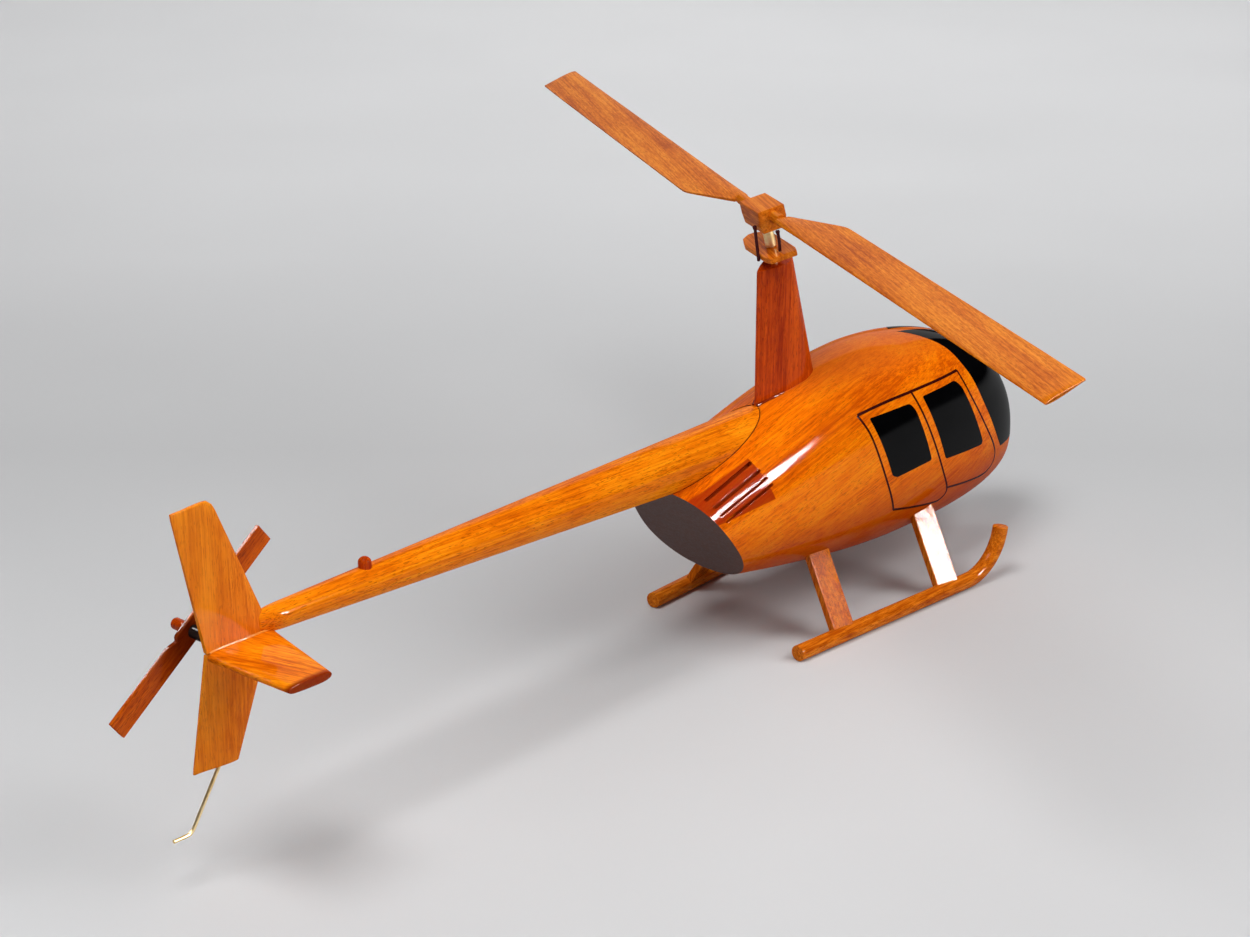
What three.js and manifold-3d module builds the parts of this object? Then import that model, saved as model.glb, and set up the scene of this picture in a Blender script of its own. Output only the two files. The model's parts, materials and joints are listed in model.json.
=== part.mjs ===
// Carved mahogany desk model of a light four-seat helicopter.
// Millimetres. +X is forward to the nose, +Y is left, +Z is up; z = 0 is the plane the skids rest on.
// The exported group is shifted so that its origin lies under the centre of the overall box.
import * as THREE from "three";
import { mergeVertices } from "three/addons/utils/BufferGeometryUtils.js";
import Module from "manifold-3d";

const wasm = await Module();
wasm.setup();

// ---- driving dimensions ---------------------------------------------------------------------
// From the model datum, between the heels of the skids, to the centre of the overall box.
const ORIGIN_SHIFT = new THREE.Vector3(49.3, -2.6, 0);
const GAP = 0.3; // glue line or running clearance between pieces

const POD = {
  tailX: -42, peakX: 75, noseX: 162.2, // stations of the uncut tail, the fullest section and the nose tip
  roofZ: 92.3, keelZ: 16.5, noseZ: 37.6, waistZ: 47, halfWidth: 28.2,
  roofFall: 14.8, keelRise: 9.2, sideFall: 3.6, // how far each has drawn in at x = 0
  roofPower: 1.67, keelPower: 1.47, sidePower: 2.02,
  waistFall: 0.012, // fall of the waist line for each millimetre aft of the fullest section
  cheek: 2.2, brow: 2, chin: 3.2, // exponents of the nose's side, top and underside; the larger, the fuller
  fullness: 2.28, // exponent of the rounded section
  cutLowX: -6.6, cutLowZ: 26, cutLean: 35, // the flat sawn face behind: its foot and its lean in degrees
};
const BOOM = { noseX: 24, tailX: -213, frontR: 10.75, tailR: 3.9, axisZ: 71.9, rise: -0.0125 };
const BOOM_DOWEL = { radius: 2.5, inBoom: 9, inPod: 13 }; // hidden, and how far it reaches into each
const PYLON_DOWEL = { radius: 2, x: 34.5, footZ: 78, topZ: 100 };
const WIRE_R = 0.6;
const BEACON_X = -169.4;
const FIN = { rootZ: 71.2, topZ: 117.6, rootThick: 6.4, tipThick: 2.6 };
const LOWER_FIN = { rootZ: 70.9, tipZ: 34.6, tipThick: 2.4 };
const STAB = {
  z: 70, rootThick: 5.4, tipThick: 3.6, tipY: -35.2, // it stands out to the right only
  rootFrontX: -206.6, rootRearX: -232.6, tipFrontX: -214.6, tipRearX: -231,
};
const TAIL_ROTOR = {
  x: -229.4, z: 75, y: 9, thick: 1.5, length: 73.4, width: 7.1, waist: 2.7, angle: 37.5,
  gearboxR: 2.1, gearboxFoot: -0.2, pinR: 0.6, pinFoot: 3, pinEnd: 15, pegR: 1.85, pegEnd: 17.2,
};
const SKID = {
  radius: 2.9, halfTrack: 34, toeOut: 3.43, straight: 92.5, bendR: 18.6, bendAngle: 84,
  flat: 0.2, // how much the wear flat takes off underneath
};
const STRUT = {
  thick: 3, rise: 33, // rise: height of the uncut leg above the runner's axis
  inward: 0.6, forward: 0.115, // travel for each millimetre of height
  turn: 0.2, // how far the broad face is turned towards the tail
  rear: { x: 24, width: 9.8 }, front: { x: 81, width: 10.2 },
};
const PYLON = {
  rearX: 15.4, topNoseX: 32, baseNoseX: 48.5, baseZ: 78, topZ: 131.3, topSlope: 9, halfThick: 4.6,
};
const ROTOR = {
  x: 20.6, y: 2.3, z: 151.5, leanBack: 11.6, leanLeft: 7.2, azimuth: -116.8, radius: 220.9,
};
const HUB = { length: 16.8, width: 10, top: 3, knee: -1, bottom: -5.1, bottomWidth: 9 };
const BLADE = {
  roots: [15, 18.3], breakAt: 43, coning: 0.7, tipRake: 5.7,
  frontRoot: 2, frontTip: 8.1, // the straight front edge, ahead of the blade's own axis
  backRoot: 3.3, backBreak: 12.7, backTip: 7.7, // the rear edge behind the axis: root, break, tip
  rootThick: 4, thick: 3, tipThick: 2.4,
};
const PLATE = { top: -13.4, thick: 2.1, far: -18.7, near: 11, halfWidth: 5.9 };
const MAST = { rodR: 1.1, sleeveR: 1.9, washerR: 2.7, washerFoot: -18.3, rodTop: 2, rodFoot: -34 };
const LINK_R = 0.55;
const PEG = { radius: 2, spigotR: 1.2, offset: 0.6 }; // the turned peg between hub and blade
const VENT = {
  count: 4, length: 24.7, kerf: 1.2, depth: 2.2, rise: 16.5,
  midX: -16.1, stepX: 1.37, topZ: 66.9, stepZ: 2.5, // the top slot's middle, and the step to each next one
};

// ---- finishes -------------------------------------------------------------------------------
const wood = new THREE.MeshStandardMaterial({ color: 0xb5651d, roughness: 0.25, metalness: 0 });
const darkWood = new THREE.MeshStandardMaterial({ color: 0x7a3010, roughness: 0.3, metalness: 0 });
const bareDowel = new THREE.MeshStandardMaterial({ color: 0xc8a070, roughness: 0.7, metalness: 0 });
const brass = new THREE.MeshStandardMaterial({ color: 0xd8b060, roughness: 0.25, metalness: 1 });
const black = new THREE.MeshStandardMaterial({ color: 0x101010, roughness: 0.2, metalness: 0 });
const maroonWire = new THREE.MeshStandardMaterial({ color: 0x3a0d0a, roughness: 0.35, metalness: 0.4 });

// ---- helpers --------------------------------------------------------------------------------
const rad = THREE.MathUtils.degToRad;
const v2 = (x, y) => new THREE.Vector2(x, y);
const v3 = (x, y, z) => new THREE.Vector3(x, y, z);

// A closed three.js geometry as a solid that can be joined and cut.
function solidOf(geometry) {
  const bare = geometry.clone();
  bare.deleteAttribute("normal");
  bare.deleteAttribute("uv");
  const merged = mergeVertices(bare, 1e-4);
  return new wasm.Manifold(
    new wasm.Mesh({
      numProp: 3,
      vertProperties: new Float32Array(merged.attributes.position.array),
      triVerts: new Uint32Array(merged.index.array),
    }),
  );
}

function geometryOf(solid) {
  const { vertProperties, triVerts } = solid.getMesh();
  const geometry = new THREE.BufferGeometry();
  geometry.setAttribute("position", new THREE.BufferAttribute(vertProperties, 3));
  geometry.setIndex(new THREE.BufferAttribute(triVerts, 1));
  geometry.computeVertexNormals();
  return geometry;
}

const cut = (geometry, ...tools) =>
  geometryOf(tools.reduce((left, tool) => left.subtract(solidOf(tool)), solidOf(geometry)));

// A closed skin through rings of points that all run the same way round, with flat or pointed ends.
function loft(rings) {
  const count = rings[0].length;
  const points = rings.flat();
  const index = [];
  rings.slice(1).forEach((_, r) => {
    for (let i = 0; i < count; i++) {
      const a = r * count + i;
      const b = r * count + ((i + 1) % count);
      index.push(a, b, a + count, b, b + count, a + count);
    }
  });
  for (const [ring, flip] of [[0, true], [rings.length - 1, false]]) {
    const middle = rings[ring].reduce((sum, p) => sum.add(p), v3(0, 0, 0)).divideScalar(count);
    points.push(middle);
    for (let i = 0; i < count; i++) {
      const a = ring * count + i;
      const b = ring * count + ((i + 1) % count);
      index.push(...(flip ? [b, a, points.length - 1] : [a, b, points.length - 1]));
    }
  }
  const geometry = new THREE.BufferGeometry().setFromPoints(points);
  geometry.setIndex(index);
  return solidOf(geometry).volume() < 0 ? turned(geometry) : geometry;
}

function turned(geometry) {
  const index = geometry.index.array;
  for (let i = 0; i < index.length; i += 3) [index[i], index[i + 1]] = [index[i + 1], index[i]];
  return geometry;
}

// A round bar between two points, with a second radius where it tapers.
function bar(from, to, radius, endRadius = radius, sides = 20) {
  const geometry = new THREE.CylinderGeometry(endRadius, radius, from.distanceTo(to), sides);
  geometry.translate(0, from.distanceTo(to) / 2, 0);
  const turn = new THREE.Quaternion().setFromUnitVectors(v3(0, 1, 0), to.clone().sub(from).normalize());
  return geometry.applyQuaternion(turn).translate(from.x, from.y, from.z);
}

// A lens-shaped aerofoil ring: chord from rear to front, thickest a third of the way back.
function aerofoil(place, rear, front, thick, grow = 0) {
  const halves = [[0.03, 0.26], [0.12, 0.62], [0.3, 0.98], [0.45, 0.97], [0.7, 0.7], [0.9, 0.42]];
  const chord = front - rear + grow;
  const side = (sign) => ([back, share]) =>
    place(front + grow - back * chord, sign * (share * thick) / 2 + sign * grow);
  return [
    place(front + grow, 0),
    ...halves.map(side(1)),
    place(rear, 0.12 * thick + grow),
    place(rear, -0.12 * thick - grow),
    ...halves.map(side(-1)).reverse(),
  ];
}

function flatPrism(outline, thick) {
  return new THREE.ExtrudeGeometry(new THREE.Shape(outline), { depth: thick, bevelEnabled: false });
}

const root = new THREE.Group();
function add(name, geometry, material, parent = root) {
  const mesh = new THREE.Mesh(geometry, material);
  mesh.name = name;
  parent.add(mesh);
  return mesh;
}

// ---- pod ------------------------------------------------------------------------------------
// Behind its fullest section the pod eases in by power curves; ahead of it, it closes as an ellipse.
function podSection(x) {
  const back = Math.max(0, POD.peakX - x);
  const ahead = Math.min(1, Math.max(0, (x - POD.peakX) / (POD.noseX - POD.peakX)));
  const close = (power) => (1 - ahead ** power) ** (1 / power);
  const waist = POD.waistZ + (POD.noseZ - POD.waistZ) * ahead - POD.waistFall * back;
  const roof = POD.roofZ - POD.roofFall * (back / POD.peakX) ** POD.roofPower;
  const keel = POD.keelZ + POD.keelRise * (back / POD.peakX) ** POD.keelPower;
  const side = POD.halfWidth - POD.sideFall * (back / POD.peakX) ** POD.sidePower;
  return {
    waist,
    half: side * close(POD.cheek),
    top: waist + (roof - waist) * close(POD.brow),
    bottom: waist - (waist - keel) * close(POD.chin),
  };
}

function podRing(x, count = 32) {
  const s = podSection(x);
  return Array.from({ length: count }, (_, i) => {
    const a = (i / count) * Math.PI * 2;
    const round = (v) => Math.sign(v) * Math.abs(v) ** (2 / POD.fullness);
    const up = round(Math.sin(a));
    const reach = up > 0 ? s.top - s.waist : s.waist - s.bottom;
    return v3(x, s.half * round(Math.cos(a)), s.waist + up * reach);
  });
}

function podBlank() {
  const tailSteps = 12;
  const noseSteps = 11;
  const stations = [];
  for (let i = 0; i < tailSteps; i++) {
    stations.push(POD.tailX + ((POD.peakX - POD.tailX) * i) / tailSteps);
  }
  for (let i = 0; i < noseSteps; i++) {
    stations.push(POD.peakX + (POD.noseX - POD.peakX) * Math.sin((i / noseSteps) * (Math.PI / 2)));
  }
  stations.push(POD.noseX - 0.05);
  return loft(stations.map((x) => podRing(x)));
}

// The half-space behind the sawn face, as a leaning block.
function tailCutter() {
  const size = 120;
  return new THREE.BoxGeometry(size, size, size)
    .translate(-size / 2, 0, 0)
    .applyMatrix4(new THREE.Matrix4().makeRotationY(rad(-POD.cutLean)))
    .translate(POD.cutLowX, 0, POD.cutLowZ);
}

const boomAxisZ = (x) => BOOM.axisZ + BOOM.rise * x;
const boomRadius = (x) =>
  BOOM.tailR + ((BOOM.frontR - BOOM.tailR) * (x - BOOM.tailX)) / (BOOM.noseX - BOOM.tailX);
const onBoomAxis = (x) => v3(x, 0, boomAxisZ(x));

function boomBlank(grow = 0, sides = 32) {
  const a = onBoomAxis(BOOM.tailX);
  const b = onBoomAxis(BOOM.noseX + grow);
  return bar(a, b, BOOM.tailR + grow, BOOM.frontR + grow, sides);
}

const boomDowel = (grow = 0) =>
  bar(
    onBoomAxis(BOOM.noseX - BOOM_DOWEL.inBoom - grow),
    onBoomAxis(BOOM.noseX + BOOM_DOWEL.inPod + grow),
    BOOM_DOWEL.radius + grow,
  );
const pylonDowel = (grow = 0) =>
  bar(
    v3(PYLON_DOWEL.x, 0, PYLON_DOWEL.footZ - grow),
    v3(PYLON_DOWEL.x, 0, PYLON_DOWEL.topZ + grow),
    PYLON_DOWEL.radius + grow,
  );

// How far out the pod's flank lies at a station and height.
function flankY(x, z) {
  const s = podSection(x);
  const reach = z > s.waist ? s.top - s.waist : s.waist - s.bottom;
  return s.half * (1 - (Math.abs(z - s.waist) / reach) ** POD.fullness) ** (1 / POD.fullness);
}

// Cooling slots sawn lengthwise into each rear flank, square to the skin there, one tool for each.
function ventSlots(side) {
  return Array.from({ length: VENT.count }, (_, i) => {
    const x = VENT.midX + VENT.stepX * i;
    const z = VENT.topZ - VENT.stepZ * i;
    const roll = Math.atan(flankY(x, z - 0.5) - flankY(x, z + 0.5));
    return new THREE.BoxGeometry(VENT.length, 2 * VENT.depth, VENT.kerf)
      .rotateX(side * roll)
      .rotateY(rad(-VENT.rise))
      .rotateZ(side * rad(-2))
      .translate(x, side * flankY(x, z), z);
  });
}

const podWhole = podBlank();
const pod = cut(podWhole, tailCutter(), boomBlank(GAP), boomDowel(GAP), pylonDowel(GAP));
add("fuselage_pod", cut(pod, ...ventSlots(-1), ...ventSlots(1)), wood);

// ---- boom and tail --------------------------------------------------------------------------
const finFrontX = (z) => -207.6 - 0.427 * (z - FIN.rootZ);
const finRearX = (z) => -232.2 - 0.2135 * (z - FIN.rootZ);

function upperFin(grow = 0) {
  const ring = (z, thick) =>
    aerofoil((x, y) => v3(x, y, z + 0.07 * (x - finRearX(z)) * ((z - FIN.rootZ) / 46)),
      finRearX(z), finFrontX(z), thick, grow);
  const round = FIN.topZ - 3;
  const top = aerofoil((x, y) => v3(x, y, FIN.topZ + 0.05 * (x - finRearX(FIN.topZ))),
    finRearX(FIN.topZ), finFrontX(FIN.topZ) - 1.6, FIN.tipThick * 0.8, grow);
  return loft([ring(FIN.rootZ - grow, FIN.rootThick), ring(round, FIN.tipThick + 0.3), top]);
}

const lowerFrontX = (z) => -207.6 - 0.405 * (LOWER_FIN.rootZ - z);
const lowerRearX = (z) => -232.2 - 0.196 * (LOWER_FIN.rootZ - z);

function lowerFin(grow = 0) {
  const ring = (z, thick, tilt) =>
    aerofoil(
      (x, y) => v3(x, y, z - tilt * (x - lowerRearX(z))),
      lowerRearX(z), lowerFrontX(z), thick, grow,
    );
  return loft([ring(LOWER_FIN.tipZ, LOWER_FIN.tipThick, 0.07), ring(LOWER_FIN.rootZ, FIN.rootThick, 0)]);
}

function stabilizer() {
  const ring = (y, rear, front, thick) => aerofoil((x, z) => v3(x, y, STAB.z + z), rear, front, thick);
  return loft([
    ring(STAB.tipY, STAB.tipRearX, STAB.tipFrontX, STAB.tipThick),
    ring(0, STAB.rootRearX, STAB.rootFrontX, STAB.rootThick),
  ]);
}

const wirePath = () => {
  const path = new THREE.CurvePath();
  const bendStart = v3(-240.2, 0, 17.6);
  const bendEnd = v3(-243, 0, 16);
  path.add(new THREE.LineCurve3(v3(-225.5, 0, 40.5), bendStart));
  path.add(new THREE.QuadraticBezierCurve3(bendStart, v3(-241.3, 0, 16), bendEnd));
  path.add(new THREE.LineCurve3(bendEnd, v3(-248.1, 0, 16)));
  return path;
};

function rodAlong(path, radius, steps, sides = 12) {
  const section = new THREE.Shape(
    Array.from({ length: sides }, (_, i) => {
      const a = ((i + 0.5) / sides) * Math.PI * 2;
      return new THREE.Vector2(radius * Math.cos(a), radius * Math.sin(a));
    }),
  );
  return new THREE.ExtrudeGeometry(section, { steps, extrudePath: path, bevelEnabled: false });
}

const atTailRotor = (y) => v3(TAIL_ROTOR.x, y, TAIL_ROTOR.z);
const gearbox = (grow = 0) =>
  bar(
    atTailRotor(TAIL_ROTOR.gearboxFoot - grow),
    atTailRotor(TAIL_ROTOR.y - GAP),
    TAIL_ROTOR.gearboxR + grow,
  );
const tailPin = (grow = 0) =>
  bar(
    atTailRotor(TAIL_ROTOR.pinFoot), atTailRotor(TAIL_ROTOR.pinEnd + grow),
    TAIL_ROTOR.pinR + grow, TAIL_ROTOR.pinR + grow, 12,
  );

add("tail_boom", cut(boomBlank(), upperFin(GAP), lowerFin(GAP), boomDowel(GAP)), wood);
add("boom_dowel", boomDowel(), bareDowel);
add("upper_fin", cut(upperFin(), gearbox(GAP)), wood);
add("lower_fin", cut(lowerFin(), rodAlong(wirePath(), WIRE_R + GAP, 40)), wood);
add("horizontal_stabilizer", cut(stabilizer(), upperFin(GAP), lowerFin(GAP), boomBlank(GAP)), wood);
add("tail_skid_wire", rodAlong(wirePath(), WIRE_R, 40), brass);

function beacon() {
  const x = BEACON_X;
  const profile = [v2(0, -1), v2(2.1, -1), v2(2.1, 3), v2(1.8, 4.1), v2(1.1, 4.8), v2(0, 5.1)];
  const peg = new THREE.LatheGeometry(profile, 20).rotateX(Math.PI / 2);
  return cut(peg.translate(x, 0, boomAxisZ(x) + boomRadius(x) - 1), boomBlank(GAP));
}
add("beacon_light", beacon(), darkWood);

// ---- tail rotor -----------------------------------------------------------------------------
// Each half keeps one straight edge and has the other scooped away beside the hub.
function tailRotorOutline() {
  const half = TAIL_ROTOR.length / 2;
  const w = TAIL_ROTOR.width / 2;
  const shape = new THREE.Shape();
  shape.moveTo(-half, -w);
  shape.lineTo(3.2, -w);
  shape.quadraticCurveTo(5.4, -w + 0.1, 5.6, -TAIL_ROTOR.waist + 0.4);
  shape.quadraticCurveTo(6.2, -TAIL_ROTOR.waist + 0.2, 9.4, -w);
  shape.lineTo(half, -w);
  shape.lineTo(half, w);
  shape.lineTo(-3.2, w);
  shape.quadraticCurveTo(-5.4, w - 0.1, -5.6, TAIL_ROTOR.waist - 0.4);
  shape.quadraticCurveTo(-6.2, TAIL_ROTOR.waist - 0.2, -9.4, w);
  shape.lineTo(-half, w);
  shape.closePath();
  return shape.extractPoints(5).shape;
}

function tailRotor() {
  return flatPrism(tailRotorOutline(), TAIL_ROTOR.thick)
    .rotateX(Math.PI / 2)
    .translate(0, TAIL_ROTOR.thick, 0)
    .rotateY(rad(-TAIL_ROTOR.angle))
    .translate(TAIL_ROTOR.x, TAIL_ROTOR.y, TAIL_ROTOR.z);
}

const peg = () => {
  const y = TAIL_ROTOR.y + TAIL_ROTOR.thick + GAP;
  return bar(atTailRotor(y), atTailRotor(TAIL_ROTOR.pegEnd), TAIL_ROTOR.pegR);
};

add("tail_gearbox", cut(gearbox(), tailPin(GAP)), black);
add("tail_rotor_pin", tailPin(), brass);
add("tail_rotor", cut(tailRotor(), tailPin(GAP)), darkWood);
add("tail_rotor_peg", cut(peg(), tailPin(GAP)), darkWood);

// ---- landing gear ---------------------------------------------------------------------------
// One runner of dowel: straight, toed out, and turned up in front on an arc.
function skidPath() {
  const path = new THREE.CurvePath();
  path.add(new THREE.LineCurve3(v3(0, 0, 0), v3(SKID.straight, 0, 0)));
  const steps = 10;
  const at = (i) => {
    const a = rad((SKID.bendAngle * i) / steps);
    return v3(SKID.straight + SKID.bendR * Math.sin(a), 0, SKID.bendR * (1 - Math.cos(a)));
  };
  for (let i = 0; i < steps; i++) path.add(new THREE.LineCurve3(at(i), at(i + 1)));
  return path;
}

function placeSkid(geometry, side) {
  return geometry
    .rotateZ(rad(side * SKID.toeOut))
    .translate(0, side * SKID.halfTrack, SKID.radius - SKID.flat);
}

function skid(side) {
  const blank = placeSkid(rodAlong(skidPath(), SKID.radius, 44, 20), side);
  return cut(blank, new THREE.BoxGeometry(400, 200, 20).translate(0, 0, -10));
}

// A flat leg between runner and belly: it leans inward and a little forward, its broad face turned aft.
function strut(side, { x, width }) {
  const axis = v3(STRUT.forward, -side * STRUT.inward, 1);
  const outward = v3(1, side * STRUT.turn, 0).cross(axis).multiplyScalar(-side).normalize();
  const along = axis.clone().normalize();
  const across = outward.clone().cross(along);
  const length = STRUT.rise * axis.length();
  const foot = v3(x, side * (SKID.halfTrack + Math.tan(rad(SKID.toeOut)) * x), SKID.radius);
  const blank = new THREE.BoxGeometry(width, STRUT.thick, length)
    .translate(0, 0, length / 2)
    .applyMatrix4(new THREE.Matrix4().makeBasis(across, along.clone().cross(across), along))
    .translate(foot.x, foot.y, foot.z);
  const runner = placeSkid(rodAlong(skidPath(), SKID.radius + GAP, 44, 20), side);
  const belly = podWhole.clone().translate(0, side * 0.2, -GAP);
  return cut(blank, runner, belly);
}

for (const [sideName, side] of [["left", 1], ["right", -1]]) {
  add(`skid_${sideName}`, skid(side), darkWood);
  add(`strut_front_${sideName}`, strut(side, STRUT.front), darkWood);
  add(`strut_rear_${sideName}`, strut(side, STRUT.rear), darkWood);
}

// ---- mast fairing ---------------------------------------------------------------------------
function pylonRing(z, noseX, slope) {
  const length = noseX - PYLON.rearX;
  const share = [
    [0, 0.1], [0.12, 0.32], [0.3, 0.66], [0.5, 0.92], [0.68, 1], [0.84, 0.86], [0.95, 0.52],
  ];
  const point = (sign) => ([along, wide]) => {
    const x = PYLON.rearX + along * length;
    return v3(x, sign * wide * PYLON.halfThick, z + Math.tan(rad(slope)) * (x - PYLON.rearX));
  };
  return [...share.map(point(1)), point(1)([1, 0]), ...share.map(point(-1)).reverse()];
}

const rotorTurn = new THREE.Euler(-rad(ROTOR.leanLeft), -rad(ROTOR.leanBack), 0, "YXZ");
const rotor = new THREE.Group();
rotor.position.set(ROTOR.x, ROTOR.y, ROTOR.z);
rotor.rotation.copy(rotorTurn);
root.add(rotor);

// A tool modelled in the rotor's frame, brought into the model's frame.
function fromRotorFrame(geometry) {
  rotor.updateMatrix();
  return geometry.applyMatrix4(rotor.matrix);
}

const onMast = (height) => v3(0, 0, height);
const mastRod = (grow = 0) =>
  bar(onMast(MAST.rodFoot - grow), onMast(MAST.rodTop + grow), MAST.rodR + grow, MAST.rodR + grow, 16);

const pylonBlank = loft([
  pylonRing(PYLON.baseZ, PYLON.baseNoseX, 0),
  pylonRing(PYLON.topZ, PYLON.topNoseX, PYLON.topSlope),
]);
add(
  "mast_fairing",
  cut(
    pylonBlank,
    podWhole.clone().translate(0, 0, GAP),
    boomBlank(GAP),
    pylonDowel(GAP),
    fromRotorFrame(mastRod(GAP)),
  ),
  darkWood,
);
add("fairing_dowel", pylonDowel(), bareDowel);

// ---- main rotor -----------------------------------------------------------------------------
function hubBlock() {
  const outline = [
    v2(-HUB.width / 2, HUB.top), v2(-HUB.width / 2, HUB.knee), v2(-HUB.bottomWidth / 2, HUB.bottom),
    v2(HUB.bottomWidth / 2, HUB.bottom), v2(HUB.width / 2, HUB.knee), v2(HUB.width / 2, HUB.top),
  ];
  const block = flatPrism(outline, HUB.length).translate(0, 0, -HUB.length / 2);
  return block.rotateX(Math.PI / 2).rotateZ(Math.PI / 2);
}

// A blade of lens section: narrow and thick at the root, full chord from the break outwards.
function bladeRing(place, back, front, thick) {
  return aerofoil((ahead, z) => v3(place(ahead), -ahead, z), -back, front, thick);
}

function blade(rootAt) {
  const b = BLADE;
  const frontAt = (along) =>
    b.frontRoot + ((b.frontTip - b.frontRoot) * (along - rootAt)) / (ROTOR.radius - rootAt);
  const chord = b.backTip + b.frontTip;
  return loft([
    bladeRing(() => rootAt, b.backRoot, b.frontRoot, b.rootThick),
    bladeRing(() => b.breakAt, b.backBreak, frontAt(b.breakAt), b.thick),
    bladeRing(
      (ahead) => ROTOR.radius - (b.tipRake * (b.frontTip - ahead)) / chord,
      b.backTip, b.frontTip, b.tipThick,
    ),
  ]).rotateY(rad(-b.coning));
}

// Stout in the hub and across to the blade, then a thin spigot inside the blade.
function bladePeg(rootAt, grow = 0) {
  const foot = HUB.length / 2 - 4 - grow;
  const shoulder = rootAt - GAP + grow;
  const end = rootAt + 6 + grow;
  const stout = PEG.radius + grow;
  const thin = PEG.spigotR + grow;
  return new THREE.LatheGeometry(
    [v2(0, foot), v2(stout, foot), v2(stout, shoulder), v2(thin, shoulder), v2(thin, end), v2(0, end)],
    20,
  )
    .rotateZ(-Math.PI / 2)
    .translate(0, PEG.offset, 0);
}

// Bent wire from hub to swashplate, each through the points given in the spinner's frame.
function pitchLink(...points) {
  const path = new THREE.CurvePath();
  points.slice(1).forEach((to, i) => path.add(new THREE.LineCurve3(points[i], to)));
  return rodAlong(path, LINK_R, 12, 10);
}

function swashplate() {
  const p = PLATE;
  const half = [[p.near, 0.84], [p.near - 3.5, 1], [p.far + 8.2, 1], [p.far + 2.4, 0.7], [p.far, 0.2]];
  const outline = [
    ...half.map(([along, wide]) => v2(along, wide * p.halfWidth)),
    ...half.map(([along, wide]) => v2(along, -wide * p.halfWidth)).reverse(),
  ];
  return cut(flatPrism(outline, p.thick).translate(0, 0, p.top - p.thick), mastRod(GAP));
}

const ring = (outer, low, high) => cut(bar(onMast(low), onMast(high), outer, outer, 24), mastRod(GAP));

const spinner = new THREE.Group();
spinner.rotation.z = rad(ROTOR.azimuth);
rotor.add(spinner);

const farPeg = bladePeg(BLADE.roots[1], GAP).rotateZ(Math.PI);
add("rotor_hub", cut(hubBlock(), mastRod(GAP), bladePeg(BLADE.roots[0], GAP), farPeg), wood, spinner);
BLADE.roots.forEach((rootAt, i) => {
  const arm = new THREE.Group();
  arm.rotation.z = i * Math.PI;
  spinner.add(arm);
  add(`main_blade_${i + 1}`, cut(blade(rootAt), bladePeg(rootAt, GAP)), darkWood, arm);
  add(`blade_peg_${i + 1}`, bladePeg(rootAt), wood, arm);
});
const sideLinkTop = v3(4.6, -HUB.width / 2 - LINK_R - GAP, -2.4);
const sideLinkFoot = v3(3.6, -PLATE.halfWidth - LINK_R - GAP, PLATE.top - PLATE.thick);
add("pitch_link_1", pitchLink(sideLinkTop, v3(4.5, sideLinkTop.y, -4), sideLinkFoot), maroonWire, spinner);
const endLinkTop = v3(HUB.length / 2 - 0.6, 0.8, HUB.bottom - GAP);
const endLinkFoot = v3(7.5, 0.2, PLATE.top + GAP);
add("pitch_link_2", pitchLink(endLinkTop, v3(8, 0.6, -9), endLinkFoot), maroonWire, spinner);
add("swashplate", swashplate(), wood, spinner);
add("mast_sleeve", ring(MAST.sleeveR, PLATE.top + GAP, HUB.bottom - GAP), brass, spinner);
add("mast_washer", ring(MAST.washerR, MAST.washerFoot, PLATE.top - PLATE.thick - GAP), brass, rotor);
add("mast_rod", mastRod(), brass, rotor);

root.position.copy(ORIGIN_SHIFT);
export default root;
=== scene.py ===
import json
import math

import bmesh
import bpy
import numpy as np
from mathutils import Matrix, Vector
from mathutils.geometry import delaunay_2d_cdt


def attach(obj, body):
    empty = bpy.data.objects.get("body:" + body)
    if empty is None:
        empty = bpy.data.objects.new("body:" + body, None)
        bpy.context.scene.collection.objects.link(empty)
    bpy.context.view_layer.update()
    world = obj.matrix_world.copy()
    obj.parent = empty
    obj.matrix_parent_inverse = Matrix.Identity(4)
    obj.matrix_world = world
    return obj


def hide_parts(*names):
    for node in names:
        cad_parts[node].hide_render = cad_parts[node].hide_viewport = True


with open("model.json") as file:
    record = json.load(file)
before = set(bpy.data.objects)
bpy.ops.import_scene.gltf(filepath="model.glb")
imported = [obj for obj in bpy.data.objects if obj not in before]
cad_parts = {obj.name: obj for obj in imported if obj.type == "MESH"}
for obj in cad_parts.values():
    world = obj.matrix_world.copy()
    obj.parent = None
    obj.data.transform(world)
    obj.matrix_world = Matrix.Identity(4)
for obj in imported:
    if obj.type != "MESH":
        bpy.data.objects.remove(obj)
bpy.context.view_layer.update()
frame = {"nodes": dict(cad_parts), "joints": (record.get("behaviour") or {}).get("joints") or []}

# ---- the model's own frame: millimetres, X forward, Y left, Z up, datum between the skid heels ----
MM = 0.001
SIDES = ((1, "left"), (-1, "right"))
TAIL_ROTOR_FACE = np.array([-229.4, 9.0, 75.0])
TAIL_ROTOR_THICK, TAIL_ROTOR_ANGLE = 1.5, math.radians(37.5)
TAIL_ROTOR_DATUM = TAIL_ROTOR_FACE + [0.0, TAIL_ROTOR_THICK / 2, 0.0]
JOINTS = {j["name"]: j for j in frame["joints"]}
SHIFT = np.array(JOINTS["tail_rotor_spin"]["pos_m"]) - MM * TAIL_ROTOR_DATUM
HUB_AT = (np.array(JOINTS["main_rotor_spin"]["pos_m"]) - SHIFT) / MM
MAST = np.array(JOINTS["main_rotor_spin"]["axis"])
SHIFT_MM = SHIFT / MM


def rotation(axis, angle):
    c, s = math.cos(angle), math.sin(angle)
    i, j = {"x": (1, 2), "y": (2, 0), "z": (0, 1)}[axis]
    m = np.eye(3)
    m[i, i] = m[j, j] = c
    m[i, j], m[j, i] = -s, s
    return m


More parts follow.
